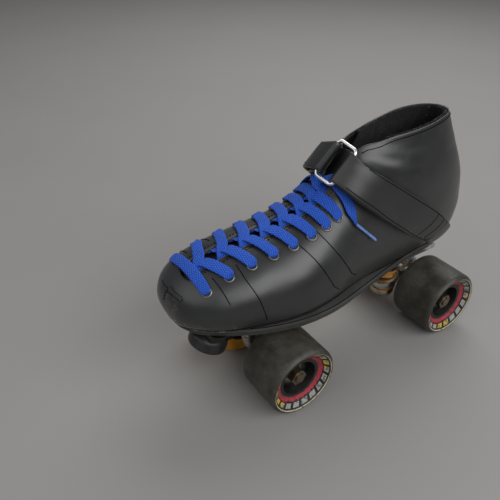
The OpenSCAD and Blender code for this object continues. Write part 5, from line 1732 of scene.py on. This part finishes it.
class SKATE_OT_metal(bpy.types.Operator):
    """Plate, hangers, pins, bolts and bearings, with rounded edges"""

    bl_idname = "skate.metal"
    bl_label = "Metal parts"

    def execute(self, context):
        edge = context.scene.skate_sizes.edge_r
        parts = [
            ("plate", "cast metal", "cast_metal", 1.6 * edge), ("plate_screws", "steel", "steel", 0.6 * edge),
            ("toe_plug_bolt", "steel", "steel", edge), ("kingpins", "steel", "steel", edge),
            ("kingpin_nuts", "steel", "steel", edge), ("pivot_cups", "cup rubber", "cup_rubber", 0.6 * edge),
            ("outsole", "sole rubber", "sole_rubber", 1.6 * edge),
            ("welt", "welt leather", "welt_leather", 1.2 * edge),
        ]
        for end in AXLES:
            parts += [
                (f"{end}_hanger", "cast metal", "cast_metal", 1.8 * edge),
                (f"{end}_pivot_pin", "steel", "steel", 0.5 * edge),
                (f"{end}_pivot_nut", "steel", "steel", edge), (f"{end}_axle", "axle steel", "steel", edge),
                (f"{end}_inner_races", "bearing steel", "bearing_steel", 0.5 * edge),
                (f"{end}_bearing_spacers", "steel", "steel", 0.5 * edge),
                (f"{end}_axle_nuts", "axle steel", "steel", edge),
            ]
            for side, way in (("lateral", 1), ("medial", -1)):
                parts += [
                    (f"{end}_{side}_hub", "hub nylon", "hub_nylon", edge, way * DISH_Y * MM),
                    (f"{end}_{side}_bearings", "bearing steel", "bearing_steel", 0.5 * edge),
                ]
        for part in parts:
            edged(*part)
        return {"FINISHED"}


class SKATE_OT_cushions(bpy.types.Operator):
    """Urethane cushions between the plate and the hangers"""

    bl_idname = "skate.cushions"
    bl_label = "Cushions"

    def execute(self, context):
        bore = KINGPIN_R + PLAY
        for end in AXLES:
            place = kingpin_frame(end)
            for level, (low, reach) in CUSHIONS.items():
                edge = CUSHION_R - CUSHION_EDGE
                outline = [(bore, low), (edge, low)]
                for k in range(1, 8):
                    t = k / 8
                    bulge = CUSHION_BULGE * math.sin(math.pi * t)
                    outline.append((CUSHION_R - CUSHION_BULGE + bulge, low + reach * t))
                outline += [(edge, low + reach), (bore, low + reach)]
                bm = bmesh.new()
                turned(bm, rounded(outline, 0.6), place, 48)
                obj = finish(bm, f"{end}_{level}_urethane", "cushion urethane", None, "cushion_urethane",
                             (f"{end}_{level}_cushion",), 50)
                held, moved = (low + reach, low) if level == "upper" else (low, low + reach)
                start, stop = (tuple(place @ Vector((0, 0, z)) * MM) for z in (held, moved))
                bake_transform(obj)
                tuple(start)
                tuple(stop)
        self.cups()
        return {"FINISHED"}

    def cups(self):
        """Pressed cups that hold the outer ends of the cushions."""
        bore, rim, lip = KINGPIN_R + CUP_EASE, CUSHION_R + CUP_RIM, CUSHION_R + CUP_LIP
        bm = bmesh.new()
        for end in AXLES:
            for floor, way in CUPS:
                base, edge = floor - CUP_T * way, floor + CUP_DEEP * way
                profile = [
                    (bore, base), (rim - CUP_CORNER, base), (rim, base + CUP_CORNER * way), (rim, edge),
                    (lip, edge), (lip, floor), (bore, floor),
                ]
                turned(bm, rounded(profile, 0.5), kingpin_frame(end), 48)
        finish(bm, "cushion_cups", "retainer metal", "skate", "retainer_metal", ("cushion_retainers",), 50)


class SKATE_OT_wheels(bpy.types.Operator):
    """Urethane tyres and the rubber toe plug"""

    bl_idname = "skate.wheels"
    bl_label = "Wheels and toe plug"

    def execute(self, context):
        for end, (x, _) in AXLES.items():
            for side, way, finish_name, slot in (
                ("lateral", 1, "grey tyre", "tyre_grey"), ("medial", -1, "amber tyre", "tyre_amber")
            ):
                self.tyre(end, side, x, way, finish_name, slot)
        self.plug()
        return {"FINISHED"}

    def tyre(self, end, side, x, way, finish_name, slot):
        matrix = frame_at(Vector((x, 0, AXLE_Z)), Vector((1, 0, 0)), Vector((0, way, 0)))
        bm = bmesh.new()
        turned(bm, rounded(TYRE_OUTLINE, 0.5), matrix, 96)
        name = f"{end}_{side}"
        finish(bm, f"{name}_urethane_tyre", finish_name, f"{name}_wheel", slot, (f"{name}_tyre",), 40)

    def plug(self):
        lean = math.radians(PLUG_LEAN)
        z = Vector((math.sin(lean), 0, -math.cos(lean)))
        place = frame_at(PLUG_PLACE, Vector((0, 1, 0)), z)
        bm = bmesh.new()
        turned(bm, rounded(PLUG_OUTLINE, 1.2, 4), place, 64)
        finish(bm, "rubber_toe_plug", "plug rubber", "skate", "plug_rubber", ("toe_plug",), 40)


class SKATE_PT_pieces(bpy.types.Panel):
    """Sizes and colours of the skate, and a button for each group of its pieces"""

    bl_idname = "SKATE_PT_pieces"
    bl_label = "Quad speed skate"
    bl_space_type = "VIEW_3D"
    bl_region_type = "UI"
    bl_category = "Skate"

    def draw(self, context):
        for settings in (context.scene.skate_sizes, context.scene.skate_colours):
            for key in settings.__annotations__:
                self.layout.prop(settings, key)
        for operator in OPERATORS:
            self.layout.operator(operator.bl_idname)


# After the finishes, the stage and the lace ends come first
OPERATORS = (
    SKATE_OT_finishes, SKATE_OT_stage, SKATE_OT_lace_ends, SKATE_OT_lace, SKATE_OT_boot, SKATE_OT_eyelets,
    SKATE_OT_strap, SKATE_OT_metal, SKATE_OT_cushions, SKATE_OT_wheels,
)
CLASSES = (SkateColours, SkateSizes, *OPERATORS, SKATE_PT_pieces)


def register():
    for cls in CLASSES:
        bpy.utils.register_class(cls)
    bpy.types.Scene.skate_colours = PointerProperty(type=SkateColours)
    bpy.types.Scene.skate_sizes = PointerProperty(type=SkateSizes)


def unregister():
    del bpy.types.Scene.skate_sizes
    del bpy.types.Scene.skate_colours
    for cls in reversed(CLASSES):
        bpy.utils.unregister_class(cls)


def main():
    register()
    for operator in OPERATORS:
        group, action = operator.bl_idname.split(".")
        getattr(getattr(bpy.ops, group), action)()


if __name__ == "__main__":
    main()
